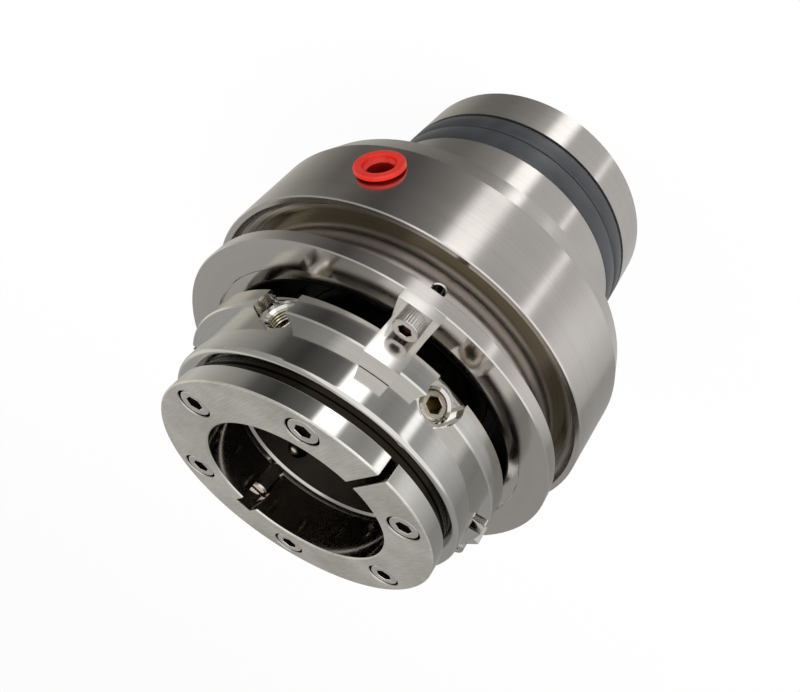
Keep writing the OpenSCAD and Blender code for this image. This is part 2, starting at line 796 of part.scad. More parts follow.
module drive_collar() {
    color("#B4B3AD")
        difference() {
            rotate_extrude()
                collar_section();
            around(set_screw_count, set_screw_angle) {
                translate([pocket_floor_r, -pocket_w / 2, rib_back_z - pocket_run])
                    cube([pocket_bite + rib_h + 1, pocket_w, rib_w + 2 * pocket_run]);
                translate([pocket_floor_r, 0, set_screw_z])
                    rotate([0, 90, 0])
                        cylinder(h = pocket_bite + rib_h + 1, d = spot_d, $fn = 64);
                translate([sleeve_r - 1, 0, set_screw_z])
                    rotate([0, 90, 0])
                        cylinder(h = collar_wall + 3, r = set_screw_d / 2 + thread_gap, $fn = 64);
                translate([pocket_floor_r - 0.8, 0, set_screw_z])
                    rotate([0, 90, 0])
                        cylinder(h = 1, d1 = set_screw_d, d2 = set_screw_d + 2, $fn = 64);
            }
            around(clamp_screw_count, 0)
                translate([clamp_screw_r, 0, clamp_head_seat_z() - clamp_screw_len - 1])
                    cylinder(h = clamp_screw_len, r = clamp_screw_d / 2 + thread_gap, $fn = 48);
            key_bore(fit_gap);
        }
}

// Grub screw lying along X with its round dog point towards the shaft
module grub_screw(d, len, tip_d, tip_h, hex) {
    rotate([0, 90, 0])
        difference() {
            union() {
                translate([0, 0, tip_d / 2])
                    sphere(d = tip_d, $fn = 48);
                translate([0, 0, tip_d / 2])
                    cylinder(h = tip_h - tip_d / 2 + eps, d = tip_d, $fn = 48);
                translate([0, 0, tip_h])
                    cylinder(h = len - tip_h - 0.8, d = d, $fn = 48);
                translate([0, 0, len - 0.8])
                    cylinder(h = 0.8, d1 = d, d2 = d - 1.6, $fn = 48);
            }
            translate([0, 0, len * 0.6])
                hex_socket(hex, len);
        }
}

// Every second screw is run down to the shaft, the others stay near the surface
module collar_set_screws() {
    color("#8F908E")
        for (i = [0 : set_screw_count - 1]) {
            lift = i % 2 == 0 ? 0 : set_screw_lift;
            rotate([0, 0, set_screw_angle - i * 360 / set_screw_count])
                translate([shaft_r + set_screw_tip_gap + lift, 0, set_screw_z])
                    grub_screw(set_screw_d, set_screw_len, set_screw_tip_d,
                               set_screw_tip_h, set_screw_hex);
        }
}

function clamp_head_seat_z() = clamp_front_z - counterbore_depth;

// Flange with a tapered nose, split on one side and notched on the other
module split_clamp_ring() {
    c = 0.5;
    color("#AFAEA5")
        difference() {
            rotate_extrude()
                polygon([
                    [shaft_r + c, nose_tip_z],
                    [nose_tip_r - c / 2, nose_tip_z],
                    [nose_tip_r, nose_tip_z + c / 2],
                    [nose_root_r, clamp_back_z],
                    [clamp_r - c, clamp_back_z],
                    [clamp_r, clamp_back_z + c],
                    [clamp_r, clamp_front_z - c],
                    [clamp_r - c, clamp_front_z],
                    [shaft_r + c, clamp_front_z],
                    [shaft_r, clamp_front_z - c],
                    [shaft_r, nose_tip_z + c]
                ]);
            around(clamp_screw_count, 0)
                translate([clamp_screw_r, 0, 0]) {
                    translate([0, 0, clamp_back_z - 1])
                        cylinder(h = clamp_t + 2, r = clamp_screw_d / 2 + hole_gap, $fn = 48);
                    translate([0, 0, clamp_head_seat_z()])
                        cylinder(h = counterbore_depth + 1, d = counterbore_d, $fn = 64);
                }
            rotate([0, 0, slit_angle])
                translate([shaft_r - 2, -slit_w / 2, nose_tip_z - 1])
                    cube([clamp_r - shaft_r + 4, slit_w, clamp_front_z - nose_tip_z + 2]);
            rotate([0, 0, notch_angle]) {
                translate([shaft_r - 2, -notch_w / 2, clamp_back_z - eps])
                    cube([notch_depth + 2, notch_w, clamp_t + 1]);
                translate([shaft_r - 2, -notch_w / 2, nose_tip_z - 1])
                    cube([nose_wall + 3, notch_w, nose_len + 1]);
            }
        }
}

module clamp_screws() {
    color("#C4C4C0")
        around(clamp_screw_count, 0)
            translate([clamp_screw_r, 0, clamp_head_seat_z()])
                cap_screw(clamp_screw_d, clamp_screw_len, clamp_head_d, clamp_head_h,
                          clamp_screw_d * 0.75, 0.4);
}

// Collar on the sleeve that drives and backs the springs
module spring_carrier() {
    color("#B0AFA9")
        difference() {
            turned_ring(sleeve_r + fit_gap, rotor_r, carrier_back_z, carrier_front_z, 1);
            around(spring_count, 0)
                translate([spring_r, 0, carrier_front_z - spring_pocket_depth])
                    cylinder(h = spring_pocket_depth + 1, d = spring_d + 2 * hole_gap, $fn = 32);
            around(drive_pin_count, 180 / spring_count)
                translate([drive_r, 0, carrier_front_z - spring_pocket_depth])
                    cylinder(h = spring_pocket_depth + 1, r = drive_pin_d / 2 + fit_gap, $fn = 32);
            around(carrier_screw_count, 90)
                translate([sleeve_r - 1, 0, carrier_back_z + carrier_screw_offset])
                    rotate([0, 90, 0])
                        cylinder(h = ring_wall + 3, r = carrier_screw_d / 2 + thread_gap, $fn = 32);
        }
}

module carrier_set_screws() {
    color("#8F908E")
        around(carrier_screw_count, 90)
            translate([sleeve_r + fit_gap, 0, carrier_back_z + carrier_screw_offset])
                grub_screw(carrier_screw_d, ring_wall * 0.85, carrier_screw_d * 0.6,
                           ring_wall * 0.2, carrier_screw_d / 2);
}

module drive_pins() {
    len = spring_pocket_depth + primary_back_z - carrier_front_z + drive_pin_reach;
    color("#8A8B8C")
        around(drive_pin_count, 180 / spring_count)
            translate([drive_r, 0, carrier_front_z - spring_pocket_depth])
                cylinder(h = len, d = drive_pin_d, $fn = 32);
}

// Points of one cross-section of the spring wire at a place along the coil
function coil_section(k, steps, sides) =
    let (turn = 360 * spring_turns * k / steps,
         mean_r = (spring_d - spring_wire_d) / 2,
         z = spring_wire_d / 2 + (spring_len - spring_wire_d) * k / steps)
    [for (s = [0 : sides - 1])
        let (a = 360 * s / sides, rr = mean_r + spring_wire_d / 2 * cos(a))
        [rr * cos(turn), rr * sin(turn), z + spring_wire_d / 2 * sin(a)]];

// Coil spring swept as a chain of wire sections
module coil_spring() {
    sides = 5;
    steps = spring_turns * 9;
    points = [for (k = [0 : steps]) each coil_section(k, steps, sides)];
    walls = [for (k = [0 : steps - 1], s = [0 : sides - 1])
        each [[k * sides + s, (k + 1) * sides + s, (k + 1) * sides + (s + 1) % sides],
              [k * sides + s, (k + 1) * sides + (s + 1) % sides, k * sides + (s + 1) % sides]]];
    start = [[for (s = [0 : sides - 1]) s]];
    end = [[for (s = [sides - 1 : -1 : 0]) steps * sides + s]];
    polyhedron(points = points, faces = concat(walls, start, end));
}

module seal_springs() {
    color("#B8B8B4")
        around(spring_count, 0)
            translate([spring_r, 0, disc_back_z - spring_len])
                coil_spring();
}

module thrust_disc() {
    color("#B0AFA9")
        difference() {
            turned_ring(sleeve_r + run_gap, rotor_r - 0.5, disc_back_z, primary_back_z, 0.4);
            around(drive_pin_count, 180 / spring_count)
                translate([drive_r, 0, disc_back_z - 1])
                    cylinder(h = disc_t + 2, r = drive_pin_d / 2 + hole_gap, $fn = 32);
        }
}

// Carbon ring with a narrow lapped nose and a rear groove for its O-ring
module primary_ring() {
    in_r = sleeve_r + run_gap;
    groove_r = sleeve_r + face_cord_d;
    groove_len = face_cord_d * 1.3;
    pin_hole_depth = drive_pin_reach + float_travel + 2 * hole_gap;
    color("#2B2C2E")
        difference() {
            rotate_extrude()
                polygon([
                    [groove_r, primary_back_z],
                    [rotor_r - 0.6, primary_back_z],
                    [rotor_r, primary_back_z + 0.6],
                    [rotor_r, nose_back_z - 0.6],
                    [rotor_r - 0.6, nose_back_z],
                    [face_r + nose_face_w / 2, nose_back_z],
                    [face_r + nose_face_w / 2, nose_back_z + nose_face_len],
                    [face_r - nose_face_w / 2, nose_back_z + nose_face_len],
                    [face_r - nose_face_w / 2, nose_back_z],
                    [in_r, nose_back_z],
                    [in_r, primary_back_z + groove_len],
                    [groove_r, primary_back_z + groove_len]
                ]);
            around(drive_pin_count, 180 / spring_count)
                translate([drive_r, 0, primary_back_z - eps])
                    cylinder(h = pin_hole_depth, r = drive_pin_d / 2 + hole_gap, $fn = 32);
        }
}

module primary_o_ring() {
    cord = face_cord_d * 0.8;
    color("#1E1F21")
        cord_ring(sleeve_r + face_cord_d - cord / 2 - fit_gap, primary_back_z + face_cord_d * 0.65, cord);
}

gland_body();
front_cover();
cover_o_ring();
port_plug();
spigot_ring_rear();
spigot_ring_front();
throttle_bushing();
bushing_snap_ring();
stationary_seat();
seat_o_ring();
seat_pin();
setting_clip_1();
setting_clip_2();
setting_clip_3();
clip_screws();
shaft_sleeve();
sleeve_o_ring();
drive_collar();
collar_set_screws();
split_clamp_ring();
clamp_screws();
key_pin();
spring_carrier();
carrier_set_screws();
drive_pins();
seal_springs();
thrust_disc();
primary_ring();
primary_o_ring();
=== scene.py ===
"""Looks of a cartridge mechanical seal: finishes, small fasteners, threads, studio and camera."""

import logging
import math
from dataclasses import dataclass
from enum import Enum

import bpy
from mathutils import Euler, Matrix, Vector


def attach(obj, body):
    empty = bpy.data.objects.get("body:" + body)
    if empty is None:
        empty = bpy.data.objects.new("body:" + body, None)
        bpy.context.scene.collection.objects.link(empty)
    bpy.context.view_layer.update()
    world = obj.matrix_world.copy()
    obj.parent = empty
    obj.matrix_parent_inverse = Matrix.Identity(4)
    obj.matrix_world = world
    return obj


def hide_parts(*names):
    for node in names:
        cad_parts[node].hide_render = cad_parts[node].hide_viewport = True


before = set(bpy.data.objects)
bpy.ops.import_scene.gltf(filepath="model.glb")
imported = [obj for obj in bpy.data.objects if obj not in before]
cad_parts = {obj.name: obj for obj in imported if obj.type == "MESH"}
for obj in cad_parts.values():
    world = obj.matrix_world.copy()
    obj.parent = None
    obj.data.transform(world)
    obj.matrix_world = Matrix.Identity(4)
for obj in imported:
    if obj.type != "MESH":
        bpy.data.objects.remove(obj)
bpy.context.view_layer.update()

MM = 0.001
LOG = logging.getLogger("cartridge_seal")
logging.basicConfig(level=logging.INFO, format="%(message)s")

Colour = tuple[float, float, float, float]
Outline = list[tuple[float, float]]
Screens = tuple[tuple[float, float], ...]

# Slack for faces and corners that are picked by their place
SLACK_MM = 0.02
# Corners nearer to each other than this are merged
MERGE_MM = 0.002
# Faces shade smooth across an edge up to the first angle, an edge above the second one gets a
# bevel, and faces that meet below the third one are joined first
SMOOTH_DEG = 32
SHARP_DEG = 38
FLAT_DEG = 0.4
# A face counts as turned when at least this part of its normal, squared, lies in the plane through
# the shaft, and when its corners stray less than this from one straight line of the outline
TURNED_PART = 0.98
STRAY_MM = 0.04
# A turned face that is narrower than this is part of a round
ROUND_FACE_MM = 0.8
# Values of a noise between which tone and roughness go through their full span
TONE_SPAN = (0.35, 0.65)
ROUGH_SPAN = (0.3, 0.7)


class Body(Enum):
    """The rigid bodies that the pieces of this script ride on."""

    GLAND = "gland"
    ROTOR = "rotor"


def linear(code: str) -> Colour:
    """Turns an sRGB hex colour into linear light.

    Args:
        code: Colour as "#RRGGBB".

    Returns:
        Linear red, green and blue with full alpha.
    """
    parts = [int(code[i:i + 2], 16) / 255 for i in (1, 3, 5)]
    light = [p / 12.92 if p <= 0.04045 else ((p + 0.055) / 1.055) ** 2.4 for p in parts]
    return (light[0], light[1], light[2], 1.0)


def add_node(tree: bpy.types.NodeTree, kind: str, inputs: dict | None = None,
             **settings: object) -> bpy.types.Node:
    """Adds one node with its settings, values and links.

    Args:
        tree: Node tree that gets the node.
        kind: Blender's name of the node type.
        inputs: Values or output sockets by input name or number.
        **settings: Properties of the node.

    Returns:
        The new node.
    """
    node = tree.nodes.new(kind)
    for name, value in settings.items():
        setattr(node, name, value)
    for key, value in (inputs or {}).items():
        if isinstance(value, bpy.types.NodeSocket):
            tree.links.new(value, node.inputs[key])
        else:
            node.inputs[key].default_value = value
    return node


def new_material(name: str) -> tuple[bpy.types.Material, bpy.types.NodeTree, bpy.types.Node]:
    """Starts a node material.

    Args:
        name: Name of the material.

    Returns:
        The material, its tree and its Principled shader.
    """
    material = bpy.data.materials.new(name)
    material.use_nodes = True
    tree = material.node_tree
    return material, tree, tree.nodes["Principled BSDF"]


def about_shaft(tree: bpy.types.NodeTree) -> tuple[bpy.types.NodeSocket, ...]:
    """Reads where a point of the surface lies about the shaft, in metres.

    Args:
        tree: Node tree that gets the nodes.

    Returns:
        The place, its height along the shaft and its distance from the shaft.
    """
    place = add_node(tree, "ShaderNodeTexCoord").outputs["Object"]
    height = add_node(tree, "ShaderNodeSeparateXYZ", {0: place}).outputs[2]
    level = add_node(tree, "ShaderNodeVectorMath", {0: place, 1: (1.0, 1.0, 0.0)},
                     operation="MULTIPLY").outputs[0]
    radius = add_node(tree, "ShaderNodeVectorMath", {0: level}, operation="LENGTH").outputs["Value"]
    return place, height, radius


@dataclass(frozen=True)
class TurnedSteel:
    """Austenitic stainless steel, turned on a lathe.

    The tool leaves faint lines round the axis, so that highlights draw out along the shaft with
    crisp sides, and each cut has its own slight tone. Painted shade can darken an inner zone.
    """

    name: str
    colour: str = "#CBC6C2"
    dark: str = "#C4BFBA"
    roughness: float = 0.17
    anisotropy: float = 0.75
    # Real feed lines are 0.1 to 0.2 mm apart; they are drawn coarser, so that they show
    line_mm: float = 0.5
    line_depth_mm: float = 0.0005
    scratch: float = 2.5
    smudge: float = 0.025
    # An inner zone gets painted shade: a darker colour, with a changed roughness
    shaded_inside_mm: float = 0.0
    shaded_above_mm: float = 0.0
    shaded_edge_mm: float = 0.2
    inner_shade: str = "#0B0A09"
    inner_shade_roughness: float = 0.3
    cut_mm: float = 6.0
    smudge_mm: float = 14.0
    mark_mm: float = 0.7
    mark_roughness: float = 0.12
    fleck_mm: float = 1.3

    def build(self) -> bpy.types.Material:
        """Makes the material: lines from height and radius, scratches, flecks and faint smudges.

        Returns:
            The finished material.
        """
        material, tree, shader = new_material(self.name)
        place, height, radius = about_shaft(tree)
        round_place = add_node(tree, "ShaderNodeCombineXYZ", {0: radius, 1: 0.0, 2: height}).outputs[0]
        # Marks are long and thin and lie across the turning, where the piece has been slid about
        long_place = add_node(tree, "ShaderNodeMapping", {
            "Vector": place, "Rotation": (0.5, 0.3, 0.7), "Scale": (1.0, 0.06, 1.0)}).outputs[0]
        lines, cuts, smudges, streaks, specks = [add_node(tree, "ShaderNodeTexNoise", {
            "Vector": where, "Scale": 1 / (size_mm * MM), "Detail": detail, "Roughness": rough}).outputs[0]
            for where, size_mm, detail, rough in (
                (round_place, self.line_mm, 2.0, 0.6), (round_place, self.cut_mm, 2.0, 0.6),
                (place, self.smudge_mm, 4.0, 0.6), (long_place, self.mark_mm, 2.0, 0.6),
                (place, self.fleck_mm, 3.0, 0.7))]
        tone = add_node(tree, "ShaderNodeMix", {"Factor": 0.5, "A": lines, "B": cuts}).outputs["Result"]
        marks, flecks, shade = [add_node(tree, "ShaderNodeMapRange", {
            "Value": pattern, "From Min": low, "From Max": high}).outputs[0]
            for pattern, low, high in ((streaks, 0.70, 0.80), (specks, 0.70, 0.78), (tone, *TONE_SPAN))]
        base = add_node(tree, "ShaderNodeMix", {
            "Factor": shade, "A": linear(self.dark), "B": linear(self.colour)},
            data_type="RGBA").outputs["Result"]
        rough = add_node(tree, "ShaderNodeMapRange", {
            "Value": smudges, "From Min": ROUGH_SPAN[0], "From Max": ROUGH_SPAN[1],
            "To Min": self.roughness - self.smudge, "To Max": self.roughness + self.smudge}).outputs[0]
        rough = add_node(tree, "ShaderNodeMath", {0: marks, 1: self.mark_roughness, 2: rough},
                         operation="MULTIPLY_ADD").outputs[0]
        # Painted shade darkens the inner zone
        if self.shaded_inside_mm:
            base, rough = self.add_painted_shade(tree, height, radius, base, rough)
        tree.links.new(base, shader.inputs["Base Color"])
        tree.links.new(rough, shader.inputs["Roughness"])
        worn = add_node(tree, "ShaderNodeMath", {0: marks, 1: flecks}, operation="ADD").outputs[0]
        relief = add_node(tree, "ShaderNodeMath", {0: worn, 1: -self.scratch, 2: lines},
                          operation="MULTIPLY_ADD").outputs[0]
        bump = add_node(tree, "ShaderNodeBump", {
            "Height": relief, "Distance": self.line_depth_mm * MM, "Strength": 1.0})
        tree.links.new(bump.outputs[0], shader.inputs["Normal"])
        # The lathe lines run round the shaft: square to the radius and to the axis
        round_way = add_node(tree, "ShaderNodeVectorMath", {0: (0.0, 0.0, 1.0), 1: place},
                             operation="CROSS_PRODUCT").outputs[0]
        tangent = add_node(tree, "ShaderNodeVectorTransform", {0: round_way}, vector_type="VECTOR",
                           convert_from="OBJECT", convert_to="WORLD").outputs[0]
        tree.links.new(tangent, shader.inputs["Tangent"])
        shader.inputs["Metallic"].default_value = 1.0
        shader.inputs["Anisotropic"].default_value = self.anisotropy
        shader.inputs["Anisotropic Rotation"].default_value = 0.25
        return material

    def add_painted_shade(self, tree: bpy.types.NodeTree, height: bpy.types.NodeSocket,
                radius: bpy.types.NodeSocket, base: bpy.types.NodeSocket,
                rough: bpy.types.NodeSocket) -> tuple[bpy.types.NodeSocket, bpy.types.NodeSocket]:
        """Darkens the inner zone with painted shade and gives it a changed roughness.

        Args:
            tree: Node tree of the material.
            height: Height along the shaft.
            radius: Distance from the shaft.
            base: Colour of the steel outside the zone.
            rough: Roughness of the steel outside the zone.

        Returns:
            The colour and the roughness with the painted shade.
        """
        inside, above = [add_node(tree, "ShaderNodeMapRange", {
            "Value": value, "From Min": start_mm * MM, "From Max": end_mm * MM}).outputs[0]
            for value, start_mm, end_mm in (
                (radius, self.shaded_inside_mm, self.shaded_inside_mm - self.shaded_edge_mm),
                (height, self.shaded_above_mm - 0.1, self.shaded_above_mm + 0.1))]
        shade_mask = add_node(tree, "ShaderNodeMath", {0: inside, 1: above}, operation="MULTIPLY").outputs[0]
        colour = add_node(tree, "ShaderNodeMix", {"Factor": shade_mask, "A": base, "B": linear(self.inner_shade)},
                          data_type="RGBA").outputs["Result"]
        shade_rough = add_node(tree, "ShaderNodeMath", {0: shade_mask, 1: self.inner_shade_roughness, 2: rough},
                          operation="MULTIPLY_ADD").outputs[0]
        return colour, shade_rough


@dataclass(frozen=True)
class GroundSteel:
    """Stainless steel ring, turned bright on its rim and rubbed on abrasive cloth on its face.

    The face is a pale satin grey with fine slanting scratches and cloudy rubbing marks; the rim
    reflects sharply; painted shade darkens the bore a little and the counterbores to black, while the slit's
    walls keep a pale grey.
    """

    name: str
    colour: str = "#EDEBE3"
    dark: str = "#C9C6BD"
    rim: str = "#D3D2CD"
    # Painted shade: the bore a little darker, the counterbores black
    inner_shade: str = "#BCB7B1"
    pit_shade: str = "#12100E"
    wall: str = "#D3CCC3"
    roughness: float = 0.42
    rim_roughness: float = 0.09
    face_above_mm: float = 172.55
    bore_mm: float = 32.9
    pit_from_mm: float = 35.6
    pit_to_mm: float = 47.9
    slit_deg: float = -91.0
    slit_reach_mm: float = 6.0
    # Real grit scratches are about 0.1 mm wide; they are drawn coarser, so that they show
    grit_mm: float = 0.5
    grit_depth_mm: float = 0.003
    grit_slant_deg: float = 28.0
    cloud_mm: float = 18.0
    nick_mm: float = 1.6

    def build(self) -> bpy.types.Material:
        """Makes the material: long slanting grain, cloudy tone, bright rim and dark openings.

        Returns:
            The finished material.
        """
        material, tree, shader = new_material(self.name)
        place, height, radius = about_shaft(tree)
        slanted = add_node(tree, "ShaderNodeMapping", {
            "Vector": place, "Rotation": (0.0, 0.0, math.radians(self.grit_slant_deg)),
            "Scale": (1.0, 0.07, 1.0)}).outputs[0]
        grain, clouds, specks = [add_node(tree, "ShaderNodeTexNoise", {
            "Vector": where, "Scale": 1 / (size_mm * MM), "Detail": detail, "Roughness": rough}).outputs[0]
            for where, size_mm, detail, rough in (
                (slanted, self.grit_mm, 3.0, 0.7), (place, self.cloud_mm, 5.0, 0.6),
                (place, self.nick_mm, 4.0, 0.75))]
        tone = add_node(tree, "ShaderNodeMix", {"Factor": 0.55, "A": grain, "B": clouds}).outputs["Result"]
        # The slit and the keyway notch lie on one line through the shaft
        turn = math.radians(self.slit_deg)
        across = add_node(tree, "ShaderNodeVectorMath", {
            0: place, 1: (math.sin(turn), -math.cos(turn), 0.0)}, operation="DOT_PRODUCT").outputs["Value"]
        apart = add_node(tree, "ShaderNodeMath", {0: across}, operation="ABSOLUTE").outputs[0]
        # Zones with soft edges: each is 0 at its first size and 1 at its second one
        face, bore, outward, inward, near = [add_node(tree, "ShaderNodeMapRange", {
            "Value": value, "From Min": start_mm * MM, "From Max": end_mm * MM}).outputs[0]
            for value, start_mm, end_mm in (
                (height, self.face_above_mm - 0.1, self.face_above_mm),
                (radius, self.bore_mm, self.bore_mm - 0.2),
                (radius, self.pit_from_mm, self.pit_from_mm + 0.3),
                (radius, self.pit_to_mm, self.pit_to_mm - 0.3),
                (apart, self.slit_reach_mm, self.slit_reach_mm - 0.5))]
        below = add_node(tree, "ShaderNodeMath", {0: 1.0, 1: face}, operation="SUBTRACT").outputs[0]
        between = add_node(tree, "ShaderNodeMath", {0: outward, 1: inward}, operation="MULTIPLY").outputs[0]
        # Masks of the painted shade in the bore and in the counterbores, and of the face's scratches
        tube, pit_shade, scratches = [add_node(tree, "ShaderNodeMath", {0: zone, 1: part},
                                         operation="MULTIPLY").outputs[0]
                                for zone, part in ((bore, below), (between, below), (grain, face))]
        nicks, shade = [add_node(tree, "ShaderNodeMapRange", {
            "Value": pattern, "From Min": low, "From Max": high}).outputs[0]
            for pattern, low, high in ((specks, 0.66, 0.76), (tone, *TONE_SPAN))]
        opening = add_node(tree, "ShaderNodeMix", {
            "Factor": near, "A": linear(self.pit_shade), "B": linear(self.wall)},
            data_type="RGBA").outputs["Result"]
        # Each colour covers the one before where its share is 1
        base = linear(self.dark)
        for share, colour in ((shade, linear(self.colour)), (below, linear(self.rim)),
                              (tube, linear(self.inner_shade)), (pit_shade, opening)):
            base = add_node(tree, "ShaderNodeMix", {"Factor": share, "A": base, "B": colour},
                            data_type="RGBA").outputs["Result"]
        tree.links.new(base, shader.inputs["Base Color"])
        satin = add_node(tree, "ShaderNodeMapRange", {
            "Value": clouds, "From Min": ROUGH_SPAN[0], "From Max": ROUGH_SPAN[1],
            "To Min": self.roughness - 0.05, "To Max": self.roughness + 0.06}).outputs[0]
        rough = add_node(tree, "ShaderNodeMix", {
            "Factor": face, "A": self.rim_roughness, "B": satin}).outputs["Result"]
        tree.links.new(rough, shader.inputs["Roughness"])
        relief = add_node(tree, "ShaderNodeMath", {0: scratches, 1: nicks}, operation="SUBTRACT").outputs[0]
        bump = add_node(tree, "ShaderNodeBump", {
            "Height": relief, "Distance": self.grit_depth_mm * MM, "Strength": 1.0})
        tree.links.new(bump.outputs[0], shader.inputs["Normal"])
        shader.inputs["Metallic"].default_value = 1.0
        return material


@dataclass(frozen=True)
class FineFinish:
    """Any other finish of the seal: rolled screws, moulded rubber, moulded plastic, carbon, ceramic
    and spring wire. Fine grain gives the eye the making, a slow cloud the handling."""

    name: str
    colour: str
    dark: str
    roughness: float
    metallic: float = 0.0
    grain_mm: float = 0.4
    grain_depth_mm: float = 0.003
    cloud_mm: float = 6.0
    subsurface: float = 0.0
    subsurface_mm: float = 1.5

    def build(self) -> bpy.types.Material:
        """Makes the material: grain in the bump, cloud in tone and roughness.

        Returns:
            The finished material.
        """
        material, tree, shader = new_material(self.name)
        place = add_node(tree, "ShaderNodeTexCoord").outputs["Object"]
        grain, cloud = [add_node(tree, "ShaderNodeTexNoise", {
            "Vector": place, "Scale": 1 / (size_mm * MM), "Detail": 3.0, "Roughness": 0.5}).outputs[0]
            for size_mm in (self.grain_mm, self.cloud_mm)]
        tone = add_node(tree, "ShaderNodeMix", {"Factor": 0.6, "A": grain, "B": cloud}).outputs["Result"]
        shade = add_node(tree, "ShaderNodeMapRange", {
            "Value": tone, "From Min": TONE_SPAN[0], "From Max": TONE_SPAN[1]}).outputs[0]
        base = add_node(tree, "ShaderNodeMix", {
            "Factor": shade, "A": linear(self.dark), "B": linear(self.colour)}, data_type="RGBA")
        tree.links.new(base.outputs["Result"], shader.inputs["Base Color"])
        rough = add_node(tree, "ShaderNodeMapRange", {
            "Value": cloud, "From Min": ROUGH_SPAN[0], "From Max": ROUGH_SPAN[1],
            "To Min": self.roughness * 0.88, "To Max": self.roughness * 1.12}).outputs[0]
        tree.links.new(rough, shader.inputs["Roughness"])
        bump = add_node(tree, "ShaderNodeBump", {
            "Height": grain, "Distance": self.grain_depth_mm * MM, "Strength": 1.0})
        tree.links.new(bump.outputs[0], shader.inputs["Normal"])
        shader.inputs["Metallic"].default_value = self.metallic
        shader.inputs["Subsurface Weight"].default_value = self.subsurface
        shader.inputs["Subsurface Scale"].default_value = self.subsurface_mm * MM
        return material


def dress(node_name: str, material: bpy.types.Material) -> None:
    """Gives a CAD node its finish.

    Args:
        node_name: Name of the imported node.
        material: Finish that takes every slot.
    """
    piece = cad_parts[node_name]
    if not piece.material_slots:
        piece.data.materials.append(material)
    for slot in piece.material_slots:
        slot.material = material
    LOG.info("dressed %s in %s", node_name, material.name)


def only(piece: bpy.types.Object) -> None:
    """Makes a piece the only selected and the active object.

    Args:
        piece: Piece that the next operators act on.
    """
    bpy.ops.object.select_all(action="DESELECT")
    piece.select_set(True)
    bpy.context.view_layer.objects.active = piece


def turned(name: str, outline: Outline, sides: int = 64, closed: bool = True) -> bpy.types.Object:
    """Turns an outline about Z: a disc is extruded and resized from ring to ring.

    Args:
        name: Name of the piece.
        outline: Radius and height of each ring in mm, in the order of the surface.
        sides: Number of sides.
        closed: Whether the first and last rings are capped.

    Returns:
        The piece, with its mesh about the origin.
    """
    bpy.ops.object.select_all(action="DESELECT")
    radius, height = outline[0]
    bpy.ops.mesh.primitive_circle_add(vertices=sides, radius=radius * MM, location=(0, 0, height * MM),
                                      fill_type="NGON" if closed else "NOTHING")
    piece = bpy.context.object
    piece.name = name
    bpy.ops.object.transform_apply(location=True, rotation=True, scale=True)
    bpy.ops.object.mode_set(mode="EDIT")
    bpy.ops.mesh.select_mode(type="FACE" if closed else "EDGE")
    bpy.ops.mesh.select_all(action="SELECT")
    for next_radius, next_height in outline[1:]:
        bpy.ops.mesh.extrude_region_move(
            TRANSFORM_OT_translate={"value": (0, 0, (next_height - height) * MM)})
        bpy.ops.transform.resize(value=(next_radius / radius, next_radius / radius, 1),
                                 center_override=(0, 0, 0))
        radius, height = next_radius, next_height
    bpy.ops.mesh.select_all(action="SELECT")
    bpy.ops.mesh.normals_make_consistent(inside=not closed)
    bpy.ops.object.mode_set(mode="OBJECT")
    return piece


def cut(piece: bpy.types.Object, tool: bpy.types.Object) -> None:
    """Takes a tool's volume out of a piece and removes the tool.

    Args:
        piece: Piece to cut.
        tool: Closed solid that is taken out.
    """
    only(piece)
    modifier = piece.modifiers.new("cut", "BOOLEAN")
    modifier.operation = "DIFFERENCE"
    modifier.solver = "EXACT"
    modifier.object = tool
    bpy.ops.object.modifier_apply(modifier=modifier.name)
    bpy.data.objects.remove(tool, do_unlink=True)


def move_to(piece: bpy.types.Object, where: Matrix) -> None:
    """Moves a piece's mesh to its place, so that the object itself stays at the origin.

    Args:
        piece: Piece to move.
        where: Place and turn in metres.
    """
    only(piece)
    piece.matrix_world = where
    bpy.ops.object.transform_apply(location=True, rotation=True, scale=True)


def shade_inside(piece: bpy.types.Object, reach_mm: float, below_mm: float, depth_mm: float = 8.0) -> None:
    """Gives the faces inside a socket or bore the piece's second, darker material: painted shade.

    Args:
        piece: Piece modelled about Z.
        reach_mm: Radius inside which faces count.
        below_mm: Height under which faces count.
        depth_mm: How far under that height they count.
    """
    for face in piece.data.polygons:
        x, y, z = face.center / MM
        faces_in = face.normal.x * x + face.normal.y * y < SLACK_MM
        deep = 0 > z - below_mm > -depth_mm
        face.material_index = int(faces_in and deep and math.hypot(x, y) < reach_mm)


def fit(piece: bpy.types.Object, body: Body, slot: str,
        material: bpy.types.Material | tuple[bpy.types.Material, ...], *nodes: str) -> None:
    """Finishes a piece: smooth shading, finish, body that carries it and nodes it stands for.

    Args:
        piece: Piece in its place.
        body: Rigid body that it moves with.
        slot: Name of a material slot; not used.
        material: Its finish, or the outer finish and the inner one that paints shade.
        *nodes: CAD nodes that it replaces.
    """
    only(piece)
    if not piece.data.has_custom_normals:
        bpy.ops.object.shade_smooth_by_angle(angle=math.radians(SMOOTH_DEG))
    kept = [face.material_index for face in piece.data.polygons]
    piece.data.materials.clear()
    for one in material if isinstance(material, tuple) else (material,):
        piece.data.materials.append(one)
    if len(piece.data.materials) > 1:
        piece.data.polygons.foreach_set("material_index", kept)
    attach(piece, body.value)
    if nodes:
        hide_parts(*nodes)
    LOG.info("fitted %s, %d faces", piece.name, len(piece.data.polygons))


def copies(piece: bpy.types.Object, places: list[Matrix]) -> list[bpy.types.Object]:
    """Copies a piece with its own mesh to each place; the piece itself takes the first.

    Args:
        piece: Piece modelled about the origin.
        places: Where each one goes.

    Returns:
        All the pieces in the order of the places.
    """
    made = [piece]
    for _ in places[1:]:
        only(piece)
        bpy.ops.object.duplicate()
        made.append(bpy.context.object)
    for one, where in zip(made, places):
        move_to(one, where)
    return made


